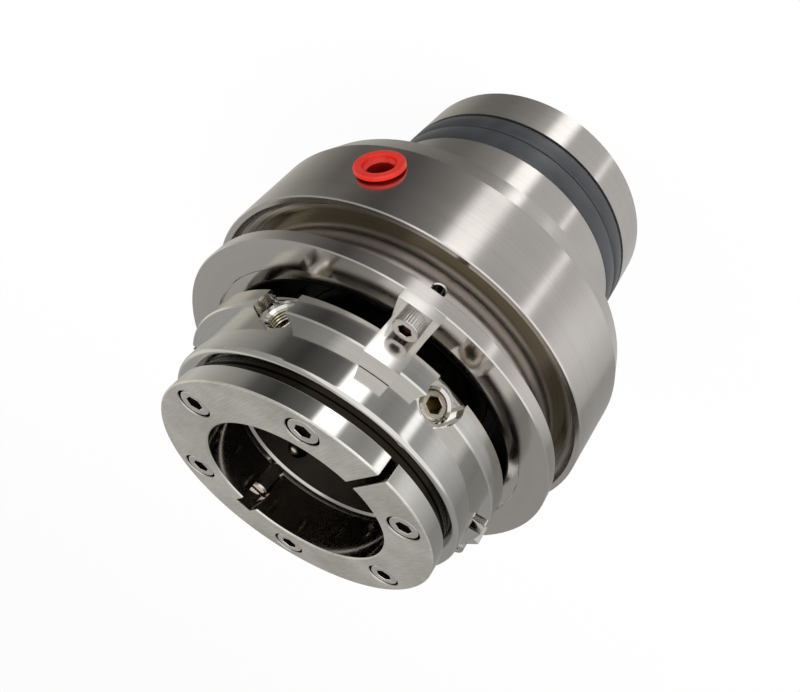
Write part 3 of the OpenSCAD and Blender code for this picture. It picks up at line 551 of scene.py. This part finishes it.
def crisp(node_name: str, width_mm: float = 0.0) -> bpy.types.Object:
    """Copies a CAD node so that its broad faces shade flat up to their edges.

    Args:
        node_name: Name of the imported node.
        width_mm: Width of a small round on the sharp edges, or 0 for none.

    Returns:
        The copy, in the node's own place.
    """
    only(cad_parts[node_name])
    bpy.ops.object.duplicate()
    piece = bpy.context.object
    piece.name = node_name + "_crisp"
    piece.parent = None
    if width_mm:
        bpy.ops.object.mode_set(mode="EDIT")
        bpy.ops.mesh.select_all(action="SELECT")
        bpy.ops.mesh.remove_doubles(threshold=MERGE_MM * MM)
        bpy.ops.mesh.dissolve_limited(angle_limit=math.radians(FLAT_DEG))
        bpy.ops.mesh.normals_make_consistent(inside=False)
        bpy.ops.object.mode_set(mode="OBJECT")
        modifier = piece.modifiers.new("round", "BEVEL")
        modifier.width = width_mm * MM
        modifier.segments = 2
        modifier.limit_method = "ANGLE"
        modifier.angle_limit = math.radians(SHARP_DEG)
        bpy.ops.object.modifier_apply(modifier=modifier.name)
        bpy.ops.object.shade_smooth_by_angle(angle=math.radians(SMOOTH_DEG))
    set_turned_normals(piece)
    return piece


def set_turned_normals(piece: bpy.types.Object) -> None:
    """Gives every face that was turned about the shaft its true normals, so that broad faces
    reflect without bends; narrow rounds keep their smooth slope and other faces stay as shaded.

    Args:
        piece: Smooth shaded piece in its place.
    """
    mesh = piece.data
    normals = [corner.vector.copy() for corner in mesh.corner_normals]
    for face in mesh.polygons:
        middle = Vector((face.center.x, face.center.y, 0)).normalized()
        out, up = face.normal.dot(middle), face.normal.z
        outline = [(math.hypot(mesh.vertices[v].co.x, mesh.vertices[v].co.y), mesh.vertices[v].co.z)
                   for v in face.vertices]
        depths = [r * out + z * up for r, z in outline]
        if out * out + up * up < TURNED_PART or max(depths) - min(depths) > STRAY_MM * MM:
            continue
        length = max(math.dist(a, b) for a in outline for b in outline)
        for corner in face.loop_indices:
            spot = mesh.vertices[mesh.loops[corner].vertex_index].co
            radial = Vector((spot.x, spot.y, 0)).normalized()
            side, height = out, up
            if length < ROUND_FACE_MM * MM:
                side, height = normals[corner].dot(radial), normals[corner].z
            normals[corner] = (radial * side + Vector((0, 0, height))).normalized()
    mesh.normals_split_custom_set(normals)


def on_shaft(bearing: float, radius_mm: float, height_mm: float, outward: bool = False) -> Matrix:
    """Place of a piece that stands at a bearing about the shaft.

    Args:
        bearing: Degrees about Z from +X.
        radius_mm: Distance from the shaft's axis.
        height_mm: Height along the shaft.
        outward: Whether the piece's own Z points away from the shaft.

    Returns:
        The place as a matrix in metres.
    """
    turn = Matrix.Rotation(math.radians(bearing), 4, "Z")
    where = turn @ Matrix.Translation((radius_mm * MM, 0, height_mm * MM))
    return where @ Matrix.Rotation(math.radians(90), 4, "Y") if outward else where


def rounded(radius: float, height: float, size: float, steps: int = 4) -> Outline:
    """Rings of a round on the outer front edge of a turned outline.

    Args:
        radius: Outer radius in mm.
        height: Height of the front in mm.
        size: Radius of the round in mm.
        steps: Number of steps across it.

    Returns:
        Radius and height of each ring, from the side to the front.
    """
    turns = [math.radians(90 * i / steps) for i in range(steps + 1)]
    return [(radius - size * (1 - math.cos(t)), height - size * (1 - math.sin(t))) for t in turns]


def hexagon(flats: float, bottom: float, top: float, mouth: float) -> bpy.types.Object:
    """Models the tool that cuts a hexagon socket with a broken edge. Sizes in mm.

    Args:
        flats: Width across flats.
        bottom: Height of the socket's floor.
        top: Height of the end that it is cut into.
        mouth: Depth of the broken edge, which is 1.2 times as wide at the corners.

    Returns:
        The tool, which stands 1 mm proud of the end.
    """
    corner = flats / math.sqrt(3)
    wide = corner + 1.2 * mouth
    return turned("socket", [(corner, bottom), (corner, top - mouth), (wide, top), (wide, top + 1)], 6)


@dataclass(frozen=True)
class SocketScrew:
    """Screw with a hexagon socket, modelled about Z with its seat at height 0. Sizes in mm.

    The edge is the round of the head, the lip the edge under it, the point the end of the shank, and
    the mouth the depth of the socket's broken edge. Ridges stand for a knurl round the head.
    """

    head_r: float
    head_h: float
    shank_r: float
    shank_len: float
    flats: float
    socket_depth: float
    edge: float = 0.5
    lip: float = 0.25
    point: float = 0.5
    mouth: float = 0.16
    ridges: int = 0
    ridge_depth: float = 0.0

    def build(self, name: str) -> bpy.types.Object:
        """Models the head, shank, knurl and socket.

        Args:
            name: Name of the piece.

        Returns:
            The screw about the origin.
        """
        sides = 2 * self.ridges if self.ridges else 64
        side_top = self.head_h - self.edge
        shank = [(self.shank_r - self.point, -self.shank_len), (self.shank_r, self.point - self.shank_len),
                 (self.shank_r, 0)]
        side = [(self.head_r - self.lip, 0), (self.head_r, self.lip), (self.head_r, side_top)]
        screw = turned(name, [*shank, *side, *rounded(self.head_r, self.head_h, self.edge)[1:]], sides)
        if self.ridges:
            self.knurl(screw, side_top)
        cut(screw, hexagon(self.flats, self.head_h - self.socket_depth, self.head_h, self.mouth))
        shade_inside(screw, self.flats / math.sqrt(3) + SLACK_MM, self.head_h - self.mouth)
        return screw

    def knurl(self, screw: bpy.types.Object, side_top: float) -> None:
        """Presses grooves into the side by drawing every second edge inwards.

        Args:
            screw: Screw with twice as many sides as ridges.
            side_top: Height where the straight side ends.
        """
        only(screw)
        bpy.ops.object.mode_set(mode="EDIT")
        bpy.ops.mesh.select_mode(type="VERT")
        bpy.ops.mesh.select_all(action="DESELECT")
        bpy.ops.object.mode_set(mode="OBJECT")
        step = math.pi / self.ridges
        for vertex in screw.data.vertices:
            x, y, z = vertex.co / MM
            on_side = (abs(math.hypot(x, y) - self.head_r) < SLACK_MM
                       and self.lip - SLACK_MM < z < side_top + SLACK_MM)
            vertex.select = on_side and round(math.atan2(y, x) / step) % 2 == 0
        bpy.ops.object.mode_set(mode="EDIT")
        share = 1 - self.ridge_depth / self.head_r
        bpy.ops.transform.resize(value=(share, share, 1), center_override=(0, 0, 0))
        bpy.ops.object.mode_set(mode="OBJECT")


@dataclass(frozen=True)
class SoftBox:
    """Square lamp with a broad, even face. Sizes in metres, power in watts."""

    name: str
    place: tuple[float, float, float]
    size: float
    power: float


@dataclass
class Studio:
    """Camera, lamps, floor and the light and dark screens that the steel reflects."""

    camera_place_mm: tuple[float, float, float] = (71.48, -226.43, 260.47)
    camera_turn_deg: tuple[float, float, float] = (-43.460, 23.075, -129.994)
    focal_px: float = 733.27
    centre_px: tuple[float, float] = (556.08, 320.10)
    photo_px: tuple[float, float] = (800.0, 692.0)
    # Brightness of the screens by bearing about the shaft, in degrees from +X. Each of the first
    # three rows holds a pale wall, a thin bright slot near -107, a bright window near -58 and a dark
    # room to its right. The spigot reflects the low row, the body the middle row, collar and clamp
    # ring the high row, and faces that look up along the shaft the upper row.
    low_screens: Screens = (
        (-180, 0.6), (-150, 0.65), (-112, 0.65), (-109, 1.7), (-105, 0.65), (-70, 0.6), (-63, 1.9),
        (-51, 1.7), (-45, 0.6), (-30, 0.35), (0, 0.2), (25, 0.2), (45, 0.35), (76, 0.5), (150, 0.6))
    middle_screens: Screens = (
        (-180, 0.55), (-150, 0.9), (-136, 0.9), (-118, 0.65), (-111, 0.65), (-108, 1.4), (-104, 0.65),
        (-70, 0.6), (-64, 1.1), (-53, 1.0), (-47, 0.3), (-30, 0.2), (-10, 0.08), (10, 0.15),
        (25, 0.13), (45, 0.26), (76, 0.55), (150, 0.4))
    high_screens: Screens = (
        (-180, 0.3), (-150, 0.6), (-136, 0.85), (-128, 0.8), (-120, 0.5), (-112, 0.5), (-108, 1.6),
        (-104, 1.6), (-101, 0.4), (-85, 0.3), (-71, 0.4), (-66, 2.6), (-53, 2.6), (-49, 0.25),
        (-40, 0.13), (-17, 0.05), (0, 0.1), (12, 0.28), (45, 0.5), (62, 0.6), (76, 0.5), (150, 0.3))
    upper_screens: Screens = (
        (-180, 0.4), (-158, 0.55), (-148, 1.25), (-34, 1.25), (-24, 0.6), (0, 0.42),
        (42, 0.5), (52, 0.9), (66, 0.9), (80, 0.5), (100, 0.42), (135, 0.4), (180, 0.45))
    # Heights on the tent over which one row of screens gives way to the next
    steps_m: tuple[tuple[float, float], ...] = ((-1.0, -0.93), (-0.76, -0.66), (-0.15, 0.15))
    tent_r_m: float = 1.5
    # Brightness that the full colour of a ramp stands for
    full_level: float = 3.0
    # Screens are the warmer the darker they are, and those of the warm sector are the warmest
    warm: tuple[float, float, float] = (1.01, 1.0, 0.965)
    warm_sector_deg: tuple[float, float] = (5.0, 80.0)
    sector_tint: float = 2.0
    # Light that the world sends on matt surfaces
    soft_grey: Colour = (0.6, 0.6, 0.6, 1.0)
    # How much of the floor is plain white to the camera; the rest keeps the seal's shadow
    floor_glow: float = 0.94
    floor_m: float = 20.0
    mat_r_m: float = 0.055
    soft_boxes: tuple[SoftBox, ...] = (
        SoftBox("key", (-0.25, -0.75, 0.95), 0.6, 9.0), SoftBox("fill", (0.8, 0.35, 0.7), 0.7, 4.0))
    aim_m: tuple[float, float, float] = (0.0, 0.0, 0.09)

    def make_camera(self) -> None:
        """Places the camera where the photograph was taken from."""
        data = bpy.data.cameras.new("camera")
        width, height = self.photo_px
        data.sensor_fit = "HORIZONTAL"
        data.sensor_width = 36.0
        data.lens = self.focal_px * data.sensor_width / width
        data.shift_x = (width / 2 - self.centre_px[0]) / width
        data.shift_y = (self.centre_px[1] - height / 2) / width
        data.clip_start = 0.01
        camera = bpy.data.objects.new("camera", data)
        bpy.context.collection.objects.link(camera)
        camera.location = Vector(self.camera_place_mm) * MM
        camera.rotation_euler = Euler([math.radians(a) for a in self.camera_turn_deg])
        bpy.context.scene.camera = camera

    def make_world(self) -> None:
        """White for the camera, for reflections and through glass, and a soft grey for the rest."""
        world = bpy.data.worlds.new("studio")
        bpy.context.scene.world = world
        world.use_nodes = True
        tree = world.node_tree
        rays = add_node(tree, "ShaderNodeLightPath").outputs
        direct = rays["Is Camera Ray"]
        for kind in ("Is Transmission Ray", "Is Glossy Ray"):
            direct = add_node(tree, "ShaderNodeMath", {0: direct, 1: rays[kind]},
                              operation="MAXIMUM").outputs[0]
        shown = add_node(tree, "ShaderNodeMix", {
            "Factor": direct, "A": self.soft_grey, "B": (1.0, 1.0, 1.0, 1.0)}, data_type="RGBA")
        tree.links.new(shown.outputs["Result"], tree.nodes["Background"].inputs["Color"])

    def screen_ramp(self, tree: bpy.types.NodeTree, share: bpy.types.NodeSocket,
                    screens: Screens) -> bpy.types.NodeSocket:
        """Turns a table of brightness by bearing into a colour.

        Args:
            tree: Node tree of the tent.
            share: Bearing from 0 at -180 degrees to 1 at 180 degrees.
            screens: Bearing and brightness pairs.

        Returns:
            The colour of the screens.
        """
        ramp = add_node(tree, "ShaderNodeValToRGB", {0: share})
        stops = ramp.color_ramp.elements
        while len(stops) < len(screens):
            stops.new(0.5)
        for stop, (angle, _) in zip(stops, screens):
            stop.position = angle / 360 + 0.5
        first, last = self.warm_sector_deg
        for stop, (angle, level) in zip(stops, screens):
            tint = self.sector_tint if first < angle < last else 1 - min(level, 1.0)
            stop.color = [level / self.full_level * (1 + tint * (w - 1)) for w in self.warm] + [1.0]
        return add_node(tree, "ShaderNodeVectorMath", {0: ramp.outputs[0], "Scale": self.full_level},
                        operation="SCALE").outputs[0]

    def make_tent(self) -> None:
        """A tent that only reflections see: bright and dark screens stand below and above the
        height of the seal, as in a photographer's light tent."""
        bpy.ops.mesh.primitive_uv_sphere_add(segments=48, ring_count=24, radius=self.tent_r_m)
        tent = bpy.context.object
        tent.name = "light_tent"
        material = bpy.data.materials.new("tent_screens")
        material.use_nodes = True
        tree = material.node_tree
        tree.nodes.remove(tree.nodes["Principled BSDF"])
        way = add_node(tree, "ShaderNodeTexCoord").outputs["Object"]
        axes = add_node(tree, "ShaderNodeSeparateXYZ", {0: way}).outputs
        bearing = add_node(tree, "ShaderNodeMath", {0: axes[1], 1: axes[0]}, operation="ARCTAN2").outputs[0]
        share = add_node(tree, "ShaderNodeMath", {0: bearing, 1: 0.5 / math.pi, 2: 0.5},
                         operation="MULTIPLY_ADD").outputs[0]
        colour = self.screen_ramp(tree, share, self.low_screens)
        upper_rows = (self.middle_screens, self.high_screens, self.upper_screens)
        for (low, high), table in zip(self.steps_m, upper_rows):
            raised = add_node(tree, "ShaderNodeMapRange", {
                "Value": axes[2], "From Min": low, "From Max": high}).outputs[0]
            colour = add_node(tree, "ShaderNodeMix", {
                "Factor": raised, "A": colour, "B": self.screen_ramp(tree, share, table)},
                data_type="RGBA").outputs["Result"]
        glow = add_node(tree, "ShaderNodeEmission", {"Color": colour, "Strength": 1.0})
        tree.links.new(glow.outputs[0], tree.nodes["Material Output"].inputs["Surface"])
        material.cycles.emission_sampling = "NONE"
        tent.data.materials.append(material)
        tent.visible_camera = False
        tent.visible_diffuse = False
        tent.visible_shadow = False
        tent.visible_transmission = False

    def make_floor(self) -> None:
        """A sweep of matt paper that is white to the camera and keeps the soft shadow of the seal."""
        bpy.ops.mesh.primitive_plane_add(size=self.floor_m, location=(0, 0, -0.2 * MM))
        floor = bpy.context.object
        floor.name = "floor"
        paper, tree, shader = new_material("white_sweep_paper")
        shader.inputs["Base Color"].default_value = linear("#F4F4F4")
        shader.inputs["Roughness"].default_value = 0.9
        glow = add_node(tree, "ShaderNodeEmission", {"Strength": 1.0})
        rays = add_node(tree, "ShaderNodeLightPath").outputs
        share = add_node(tree, "ShaderNodeMath", {0: rays["Is Camera Ray"], 1: self.floor_glow},
                         operation="MULTIPLY").outputs[0]
        mix = add_node(tree, "ShaderNodeMixShader", {
            0: share, 1: shader.outputs[0], 2: glow.outputs[0]})
        tree.links.new(mix.outputs[0], tree.nodes["Material Output"].inputs["Surface"])
        floor.data.materials.append(paper)
        floor.visible_glossy = False

    def make_mat(self) -> None:
        """A dark disc under the bore, hidden from the camera, that paints the bore's reflection dark.
        It glows faintly and in patches, which stand for the dim room that the bore reflects."""
        bpy.ops.mesh.primitive_circle_add(vertices=64, radius=self.mat_r_m, fill_type="NGON",
                                          location=(0, 0, -0.1 * MM))
        mat = bpy.context.object
        mat.name = "painted_reflection_mat"
        reflection_paint, tree, shader = new_material("painted_bore_reflection")
        shader.inputs["Base Color"].default_value = linear("#161514")
        shader.inputs["Roughness"].default_value = 0.95
        place = add_node(tree, "ShaderNodeTexCoord").outputs["Object"]
        cloud = add_node(tree, "ShaderNodeTexNoise", {
            "Vector": place, "Scale": 1 / (30.0 * MM), "Detail": 1.0, "Roughness": 0.6}).outputs[0]
        patches = add_node(tree, "ShaderNodeMapRange", {
            "Value": cloud, "From Min": 0.4, "From Max": 0.62, "To Min": 0.2, "To Max": 0.6}).outputs[0]
        # Painted reflection: patches of faint glow
        shader.inputs["Emission Color"].default_value = linear("#EBE8E4")
        tree.links.new(patches, shader.inputs["Emission Strength"])
        mat.data.materials.append(reflection_paint)
        mat.visible_camera = False

    def make_lamps(self) -> None:
        """Two soft boxes for the matt pieces and the shadow."""
        for box in self.soft_boxes:
            data = bpy.data.lights.new(box.name, "AREA")
            data.size = box.size
            data.energy = box.power
            lamp = bpy.data.objects.new(box.name, data)
            bpy.context.collection.objects.link(lamp)
            lamp.location = box.place
            lamp.rotation_euler = (Vector(self.aim_m) - lamp.location).to_track_quat("-Z", "Y").to_euler()
            lamp.visible_glossy = False

    def build(self) -> None:
        """Sets up the whole studio."""
        bpy.context.scene.view_settings.view_transform = "Standard"
        self.make_camera()
        self.make_world()
        self.make_tent()
        self.make_floor()
        self.make_mat()
        self.make_lamps()


@dataclass
class GlandAssembly:
    """The standing half of the seal: gland, cover, spigot rings and port plug. Sizes in mm."""

    port_bearing: float = -38.4
    port_z: float = 97.5
    port_face_r: float = 75.906
    plug_r: float = 8.35
    plug_h: float = 2.0
    plug_skirt_r: float = 5.87
    plug_skirt_len: float = 7.5
    ring_inner_r: float = 52.3
    ring_crown_r: float = 56.56
    # Back and front of each of the two rings in the spigot's groove
    rear_ring_z: tuple[float, float] = (20.13, 29.47)
    front_ring_z: tuple[float, float] = (29.53, 41.37)

    def port_plug(self) -> None:
        """Models the moulded plug: round flange, cup, slanted ledge and deep bore."""
        skirt = [(self.plug_skirt_r, -self.plug_skirt_len), (self.plug_skirt_r, 0.25)]
        flange = [(self.plug_r - 0.2, 0.3), (self.plug_r, 0.5), *rounded(self.plug_r, self.plug_h, 0.55, 5)]
        cup = [(6.0, self.plug_h), (5.76, 1.9), (5.65, 1.65), (5.56, 0.6), (5.42, 0.38)]
        ledge = [(4.66, -0.28), (4.52, -0.45)]
        bore = [(4.45, -1.0), (4.3, -5.7), (4.0, -6.0)]
        plug = turned("port_plug_moulded", [*skirt, *flange, *cup, *ledge, *bore], 96)
        shade_inside(plug, 4.6, -0.6)
        move_to(plug, on_shaft(self.port_bearing, self.port_face_r, self.port_z, outward=True))
        # Moulded polyethylene: strong red with a waxy sheen, and light comes a little way into it
        red = FineFinish("moulded_red_polyethylene", "#DC2B1B", "#CC2113", 0.3, grain_mm=0.9,
                         grain_depth_mm=0.004, subsurface=0.05).build()
        # The skirt's deep bore gets a darker red: painted shade of the black port round it
        deep = FineFinish("moulded_red_polyethylene_skirt_shade", "#8E1710", "#7C120C", 0.35, grain_mm=0.9).build()
        fit(plug, Body.GLAND, "plug_plastic", (red, deep), "port_plug")

    def spigot_rings(self) -> None:
        """Models the two ring seals with rounded shoulders, so that a dark line parts them."""
        # Moulded nitrile: dark blue-grey with a soft sheen that follows the crown
        rubber = FineFinish("moulded_nitrile_band", "#3A3D41", "#303336", 0.36, grain_mm=0.5,
                            grain_depth_mm=0.002).build()
        # Radius of the shoulder by the distance from the ring's end
        shoulder = [(55.0, 0.0), (55.75, 0.25), (56.2, 1.0), (56.45, 2.2)]
        for node, (back, front) in (("spigot_ring_rear", self.rear_ring_z),
                                    ("spigot_ring_front", self.front_ring_z)):
            ring = turned(node + "_moulded", [
                (self.ring_inner_r, back), *[(r, back + z) for r, z in shoulder],
                (self.ring_crown_r, (back + front) / 2), *[(r, front - z) for r, z in reversed(shoulder)],
                (self.ring_inner_r, front), (self.ring_inner_r, back)], 256, closed=False)
            only(ring)
            bpy.ops.object.mode_set(mode="EDIT")
            bpy.ops.mesh.select_all(action="SELECT")
            bpy.ops.mesh.remove_doubles(threshold=MERGE_MM * MM)
            bpy.ops.mesh.normals_make_consistent(inside=False)
            bpy.ops.object.mode_set(mode="OBJECT")
            fit(ring, Body.GLAND, "ring_rubber", rubber, node)

    def build(self) -> None:
        """Dresses every standing node and models the rings and the plug."""
        # Bar steel turned with a fine feed: long highlights, and painted shade darkens the dished recess to
        # a warm brown
        dress("gland_body", TurnedSteel("turned_stainless_gland", shaded_inside_mm=71.5, shaded_above_mm=107,
                                        shaded_edge_mm=4.0, inner_shade="#625A4A", inner_shade_roughness=-0.02).build())
        # The cover is turned brighter than the body, and painted shade blackens the inside of its neck
        cover = TurnedSteel("turned_stainless_cover", roughness=0.13, anisotropy=0.4, shaded_inside_mm=56.2,
                            shaded_above_mm=90).build()
        fit(crisp("front_cover"), Body.GLAND, "turned_steel", cover, "front_cover")
        self.spigot_rings()
        self.port_plug()
        # Machined carbon: a dull near-black
        dress("throttle_bushing", FineFinish("machined_carbon_graphite", "#1C1C1E", "#141415", 0.5).build())
        # Moulded nitrile: black with a weak sheen
        nitrile = FineFinish("moulded_black_nitrile", "#242526", "#1A1B1C", 0.5).build()
        for name in ("cover_o_ring", "seat_o_ring", "sleeve_o_ring", "primary_o_ring"):
            dress(name, nitrile)
        # Lapped silicon carbide: smooth dark grey with clear reflections
        dress("stationary_seat", FineFinish("lapped_silicon_carbide", "#46494D", "#393C40", 0.22).build())
        # Tempered spring steel: dark grey and rather dull
        dress("bushing_snap_ring", FineFinish("tempered_spring_steel", "#4A4A49", "#3A3A39", 0.4,
                                              metallic=1.0).build())


@dataclass
class ClipAssembly:
    """The three setting clips and their knurled cap screws. Sizes in mm."""

    bearings: tuple[float, ...] = (-68.7, -188.7, -308.7)
    screw_r: float = 66.125
    tab_z: float = 138.0

    def build(self) -> None:
        """Dresses the clips and fits their screws."""
        # Milled stainless steel: pale, with a shine that draws out little
        milled = TurnedSteel("milled_stainless_clip", "#D7D4D0", "#C8C4BF", 0.18, 0.2).build()
        for number in (1, 2, 3):
            node = f"setting_clip_{number}"
            fit(crisp(node), Body.GLAND, "turned_steel", milled, node)
        screw = SocketScrew(head_r=4.25, head_h=5.0, shank_r=2.48, shank_len=8.0, flats=4.0,
                            socket_depth=2.6, ridges=36, ridge_depth=0.22).build("clip_screw")
        # Rolled screw steel: smooth and shiny, with glints on the ridges of the knurl
        rolled = FineFinish("rolled_stainless_screw", "#CFCBC7", "#B3AEA9", 0.17, metallic=1.0).build()
        # Painted shade in the hexagon: brownish and shiny
        hollow = FineFinish("clip_screw_socket_painted_shade", "#84735F", "#5A4B38", 0.2, metallic=1.0).build()
        for one in copies(screw, [on_shaft(b, self.screw_r, self.tab_z) for b in self.bearings]):
            fit(one, Body.GLAND, "screw_steel", (rolled, hollow), "clip_screws")


@dataclass
class RotorAssembly:
    """The turning half: sleeve, collar, clamp ring, their screws and the pieces hidden in the
    gland. Sizes in mm, bearings and turns in degrees."""

    cap_screw_first: float = 0.01
    cap_screw_r: float = 41.9
    cap_seat_z: float = 168.7
    cap_hexagon_turn: float = 17.0
    set_screw_first: float = -30.0
    set_screw_z: float = 146.0
    set_screw_end_r: float = 47.5
    set_screw_lift: float = 4.5
    set_screw_len: float = 14.0
    set_ball_r: float = 3.5
    set_flats: float = 5.0
    set_socket_depth: float = 5.5
    set_mouth: float = 0.2
    # Turn of the first set screw's hexagon, and how much further each next one is turned
    set_hexagon_turn: tuple[float, float] = (12.0, 25.0)
    thread_pitch: float = 1.0
    thread_turns: int = 4
    groove_r: float = 4.99
    ridge_r: float = 4.45

    def cap_screws(self) -> None:
        """Fits six cap screws in the counterbores of the clamp ring."""
        screw = SocketScrew(head_r=5.0, head_h=4.0, shank_r=2.98, shank_len=16.0, flats=5.0,
                            socket_depth=2.6, edge=0.4).build("clamp_cap_screw")
        # Rolled screw steel: pale, its heads a little softer than the turned rim beside them
        steel = FineFinish("rolled_stainless_cap_screw", "#E2DFDA", "#CBC7C0", 0.24, metallic=1.0).build()
        # Painted shade in the hexagon: brownish and shiny
        hollow = FineFinish("cap_screw_socket_painted_shade", "#8A7862", "#5E4F3D", 0.2, metallic=1.0).build()
        spots = [on_shaft(60 * i + self.cap_screw_first, self.cap_screw_r, self.cap_seat_z)
                 @ Matrix.Rotation(math.radians(self.cap_hexagon_turn * i), 4, "Z") for i in range(6)]
        for one in copies(screw, spots):
            fit(one, Body.ROTOR, "screw_steel", (steel, hollow), "clamp_screws")

    def set_screws(self) -> None:
        """Fits six set screws with ball ends; every second one stands further out."""
        ball = [(self.set_ball_r * math.sin(math.radians(a)),
                 self.set_ball_r - self.set_ball_r * math.cos(math.radians(a)) - self.set_screw_len)
                for a in range(10, 91, 10)]
        shank = [(self.set_ball_r, -9.2), (4.9, -8.7), (4.98, -0.8)]
        end = [(4.2, -0.08), (4.1, 0)]
        screw = turned("collar_set_screw", [*ball, *shank, *end], 48)
        cut(screw, hexagon(self.set_flats, -self.set_socket_depth, 0, self.set_mouth))
        shade_inside(screw, self.set_flats / math.sqrt(3) + SLACK_MM, -self.set_mouth)
        # Rolled screw steel: a warm grey, smooth enough for clear glints
        steel = FineFinish("rolled_stainless_set_screw", "#BDB6AA", "#8F8779", 0.15, metallic=1.0).build()
        # Painted shade in the hexagon: yellowish and shiny
        hollow = FineFinish("set_screw_socket_painted_shade", "#8F835F", "#5C5139", 0.25, metallic=1.0).build()
        first_turn, next_turn = self.set_hexagon_turn
        spots = []
        for i in range(6):
            end_r = self.set_screw_end_r + (self.set_screw_lift if i % 2 else 0)
            spots.append(on_shaft(self.set_screw_first - 60 * i, end_r, self.set_screw_z, outward=True)
                         @ Matrix.Rotation(math.radians(next_turn * i + first_turn), 4, "Z"))
        for one in copies(screw, spots):
            fit(one, Body.ROTOR, "screw_steel", (steel, hollow), "collar_set_screws")

    def threads(self) -> None:
        """Lines the tapped holes in front of the sunk set screws with thread ridges."""
        rings = [(self.groove_r, 0.0)]
        for turn in range(self.thread_turns):
            rings += [(self.ridge_r, self.thread_pitch * (turn + 0.45)),
                      (self.ridge_r, self.thread_pitch * (turn + 0.55)),
                      (self.groove_r, self.thread_pitch * (turn + 1))]
        liner = turned("set_screw_thread", rings, 48, closed=False)
        # Tapped steel: a warm, darker grey, and each ridge catches a thin glint
        steel = FineFinish("tapped_stainless_thread", "#B9B29E", "#847C66", 0.15, metallic=1.0).build()
        # The ridges start just off the screw's end
        start_r = self.set_screw_end_r + 0.05
        spots = [on_shaft(self.set_screw_first - 60 * i, start_r, self.set_screw_z, outward=True)
                 for i in (0, 2, 4)]
        for one in copies(liner, spots):
            fit(one, Body.ROTOR, "turned_steel", steel)

    def build(self) -> None:
        """Dresses every turning node and models the screws."""
        # Turned sleeve: painted shade gives its bore the clamp ring's darker bore tone, so that both read as
        # one tube
        dress("shaft_sleeve", TurnedSteel("turned_stainless_sleeve", "#C2BEB9", "#B4AFAA", 0.2,
                                          shaded_inside_mm=33.0, shaded_above_mm=-10, inner_shade="#BCB7B1",
                                          inner_shade_roughness=0.0).build())
        # Finely turned collar: clear, long reflections, and painted shade darkens its front inner edge
        collar = TurnedSteel("turned_stainless_collar", "#CECDC9", "#C4C2BE", 0.09, 0.6,
                             line_depth_mm=0.0004, smudge=0.015, shaded_inside_mm=48.4,
                             shaded_above_mm=162.9, inner_shade="#2E2922", inner_shade_roughness=0.0).build()
        fit(crisp("drive_collar"), Body.ROTOR, "turned_steel", collar, "drive_collar")
        ground = GroundSteel("ground_stainless_clamp_ring").build()
        fit(crisp("split_clamp_ring", 0.12), Body.ROTOR, "ground_steel", ground, "split_clamp_ring")
        self.cap_screws()
        self.set_screws()
        self.threads()
        # Rolled screw steel: darker and shiny
        dark_screw = FineFinish("rolled_stainless_small_screw", "#A39E92", "#857F72", 0.2,
                                metallic=1.0).build()
        for name in ("carrier_set_screws", "drive_pins", "seat_pin"):
            dress(name, dark_screw)
        # Ground key: pale and clear, so that it stands out in the dark notch
        dress("key_pin", FineFinish("ground_stainless_key", "#D9CFCB", "#BEB4AF", 0.2, metallic=1.0).build())
        # Turned steel with a coarser cut: softer highlights
        inner = TurnedSteel("turned_stainless_carrier", roughness=0.3).build()
        dress("spring_carrier", inner)
        dress("thrust_disc", inner)
        # Drawn spring wire: a soft grey shine
        dress("seal_springs", FineFinish("drawn_spring_wire", "#B5B3AD", "#9A9892", 0.28,
                                         metallic=1.0).build())
        # Lapped carbon: dark grey with a faint sheen
        dress("primary_ring", FineFinish("lapped_carbon_graphite", "#343537", "#29292B", 0.4).build())


def main() -> None:
    """Builds the seal's looks in order."""
    bpy.ops.object.select_all(action="DESELECT")
    Studio().build()
    GlandAssembly().build()
    ClipAssembly().build()
    RotorAssembly().build()


if __name__ == "__main__":
    main()
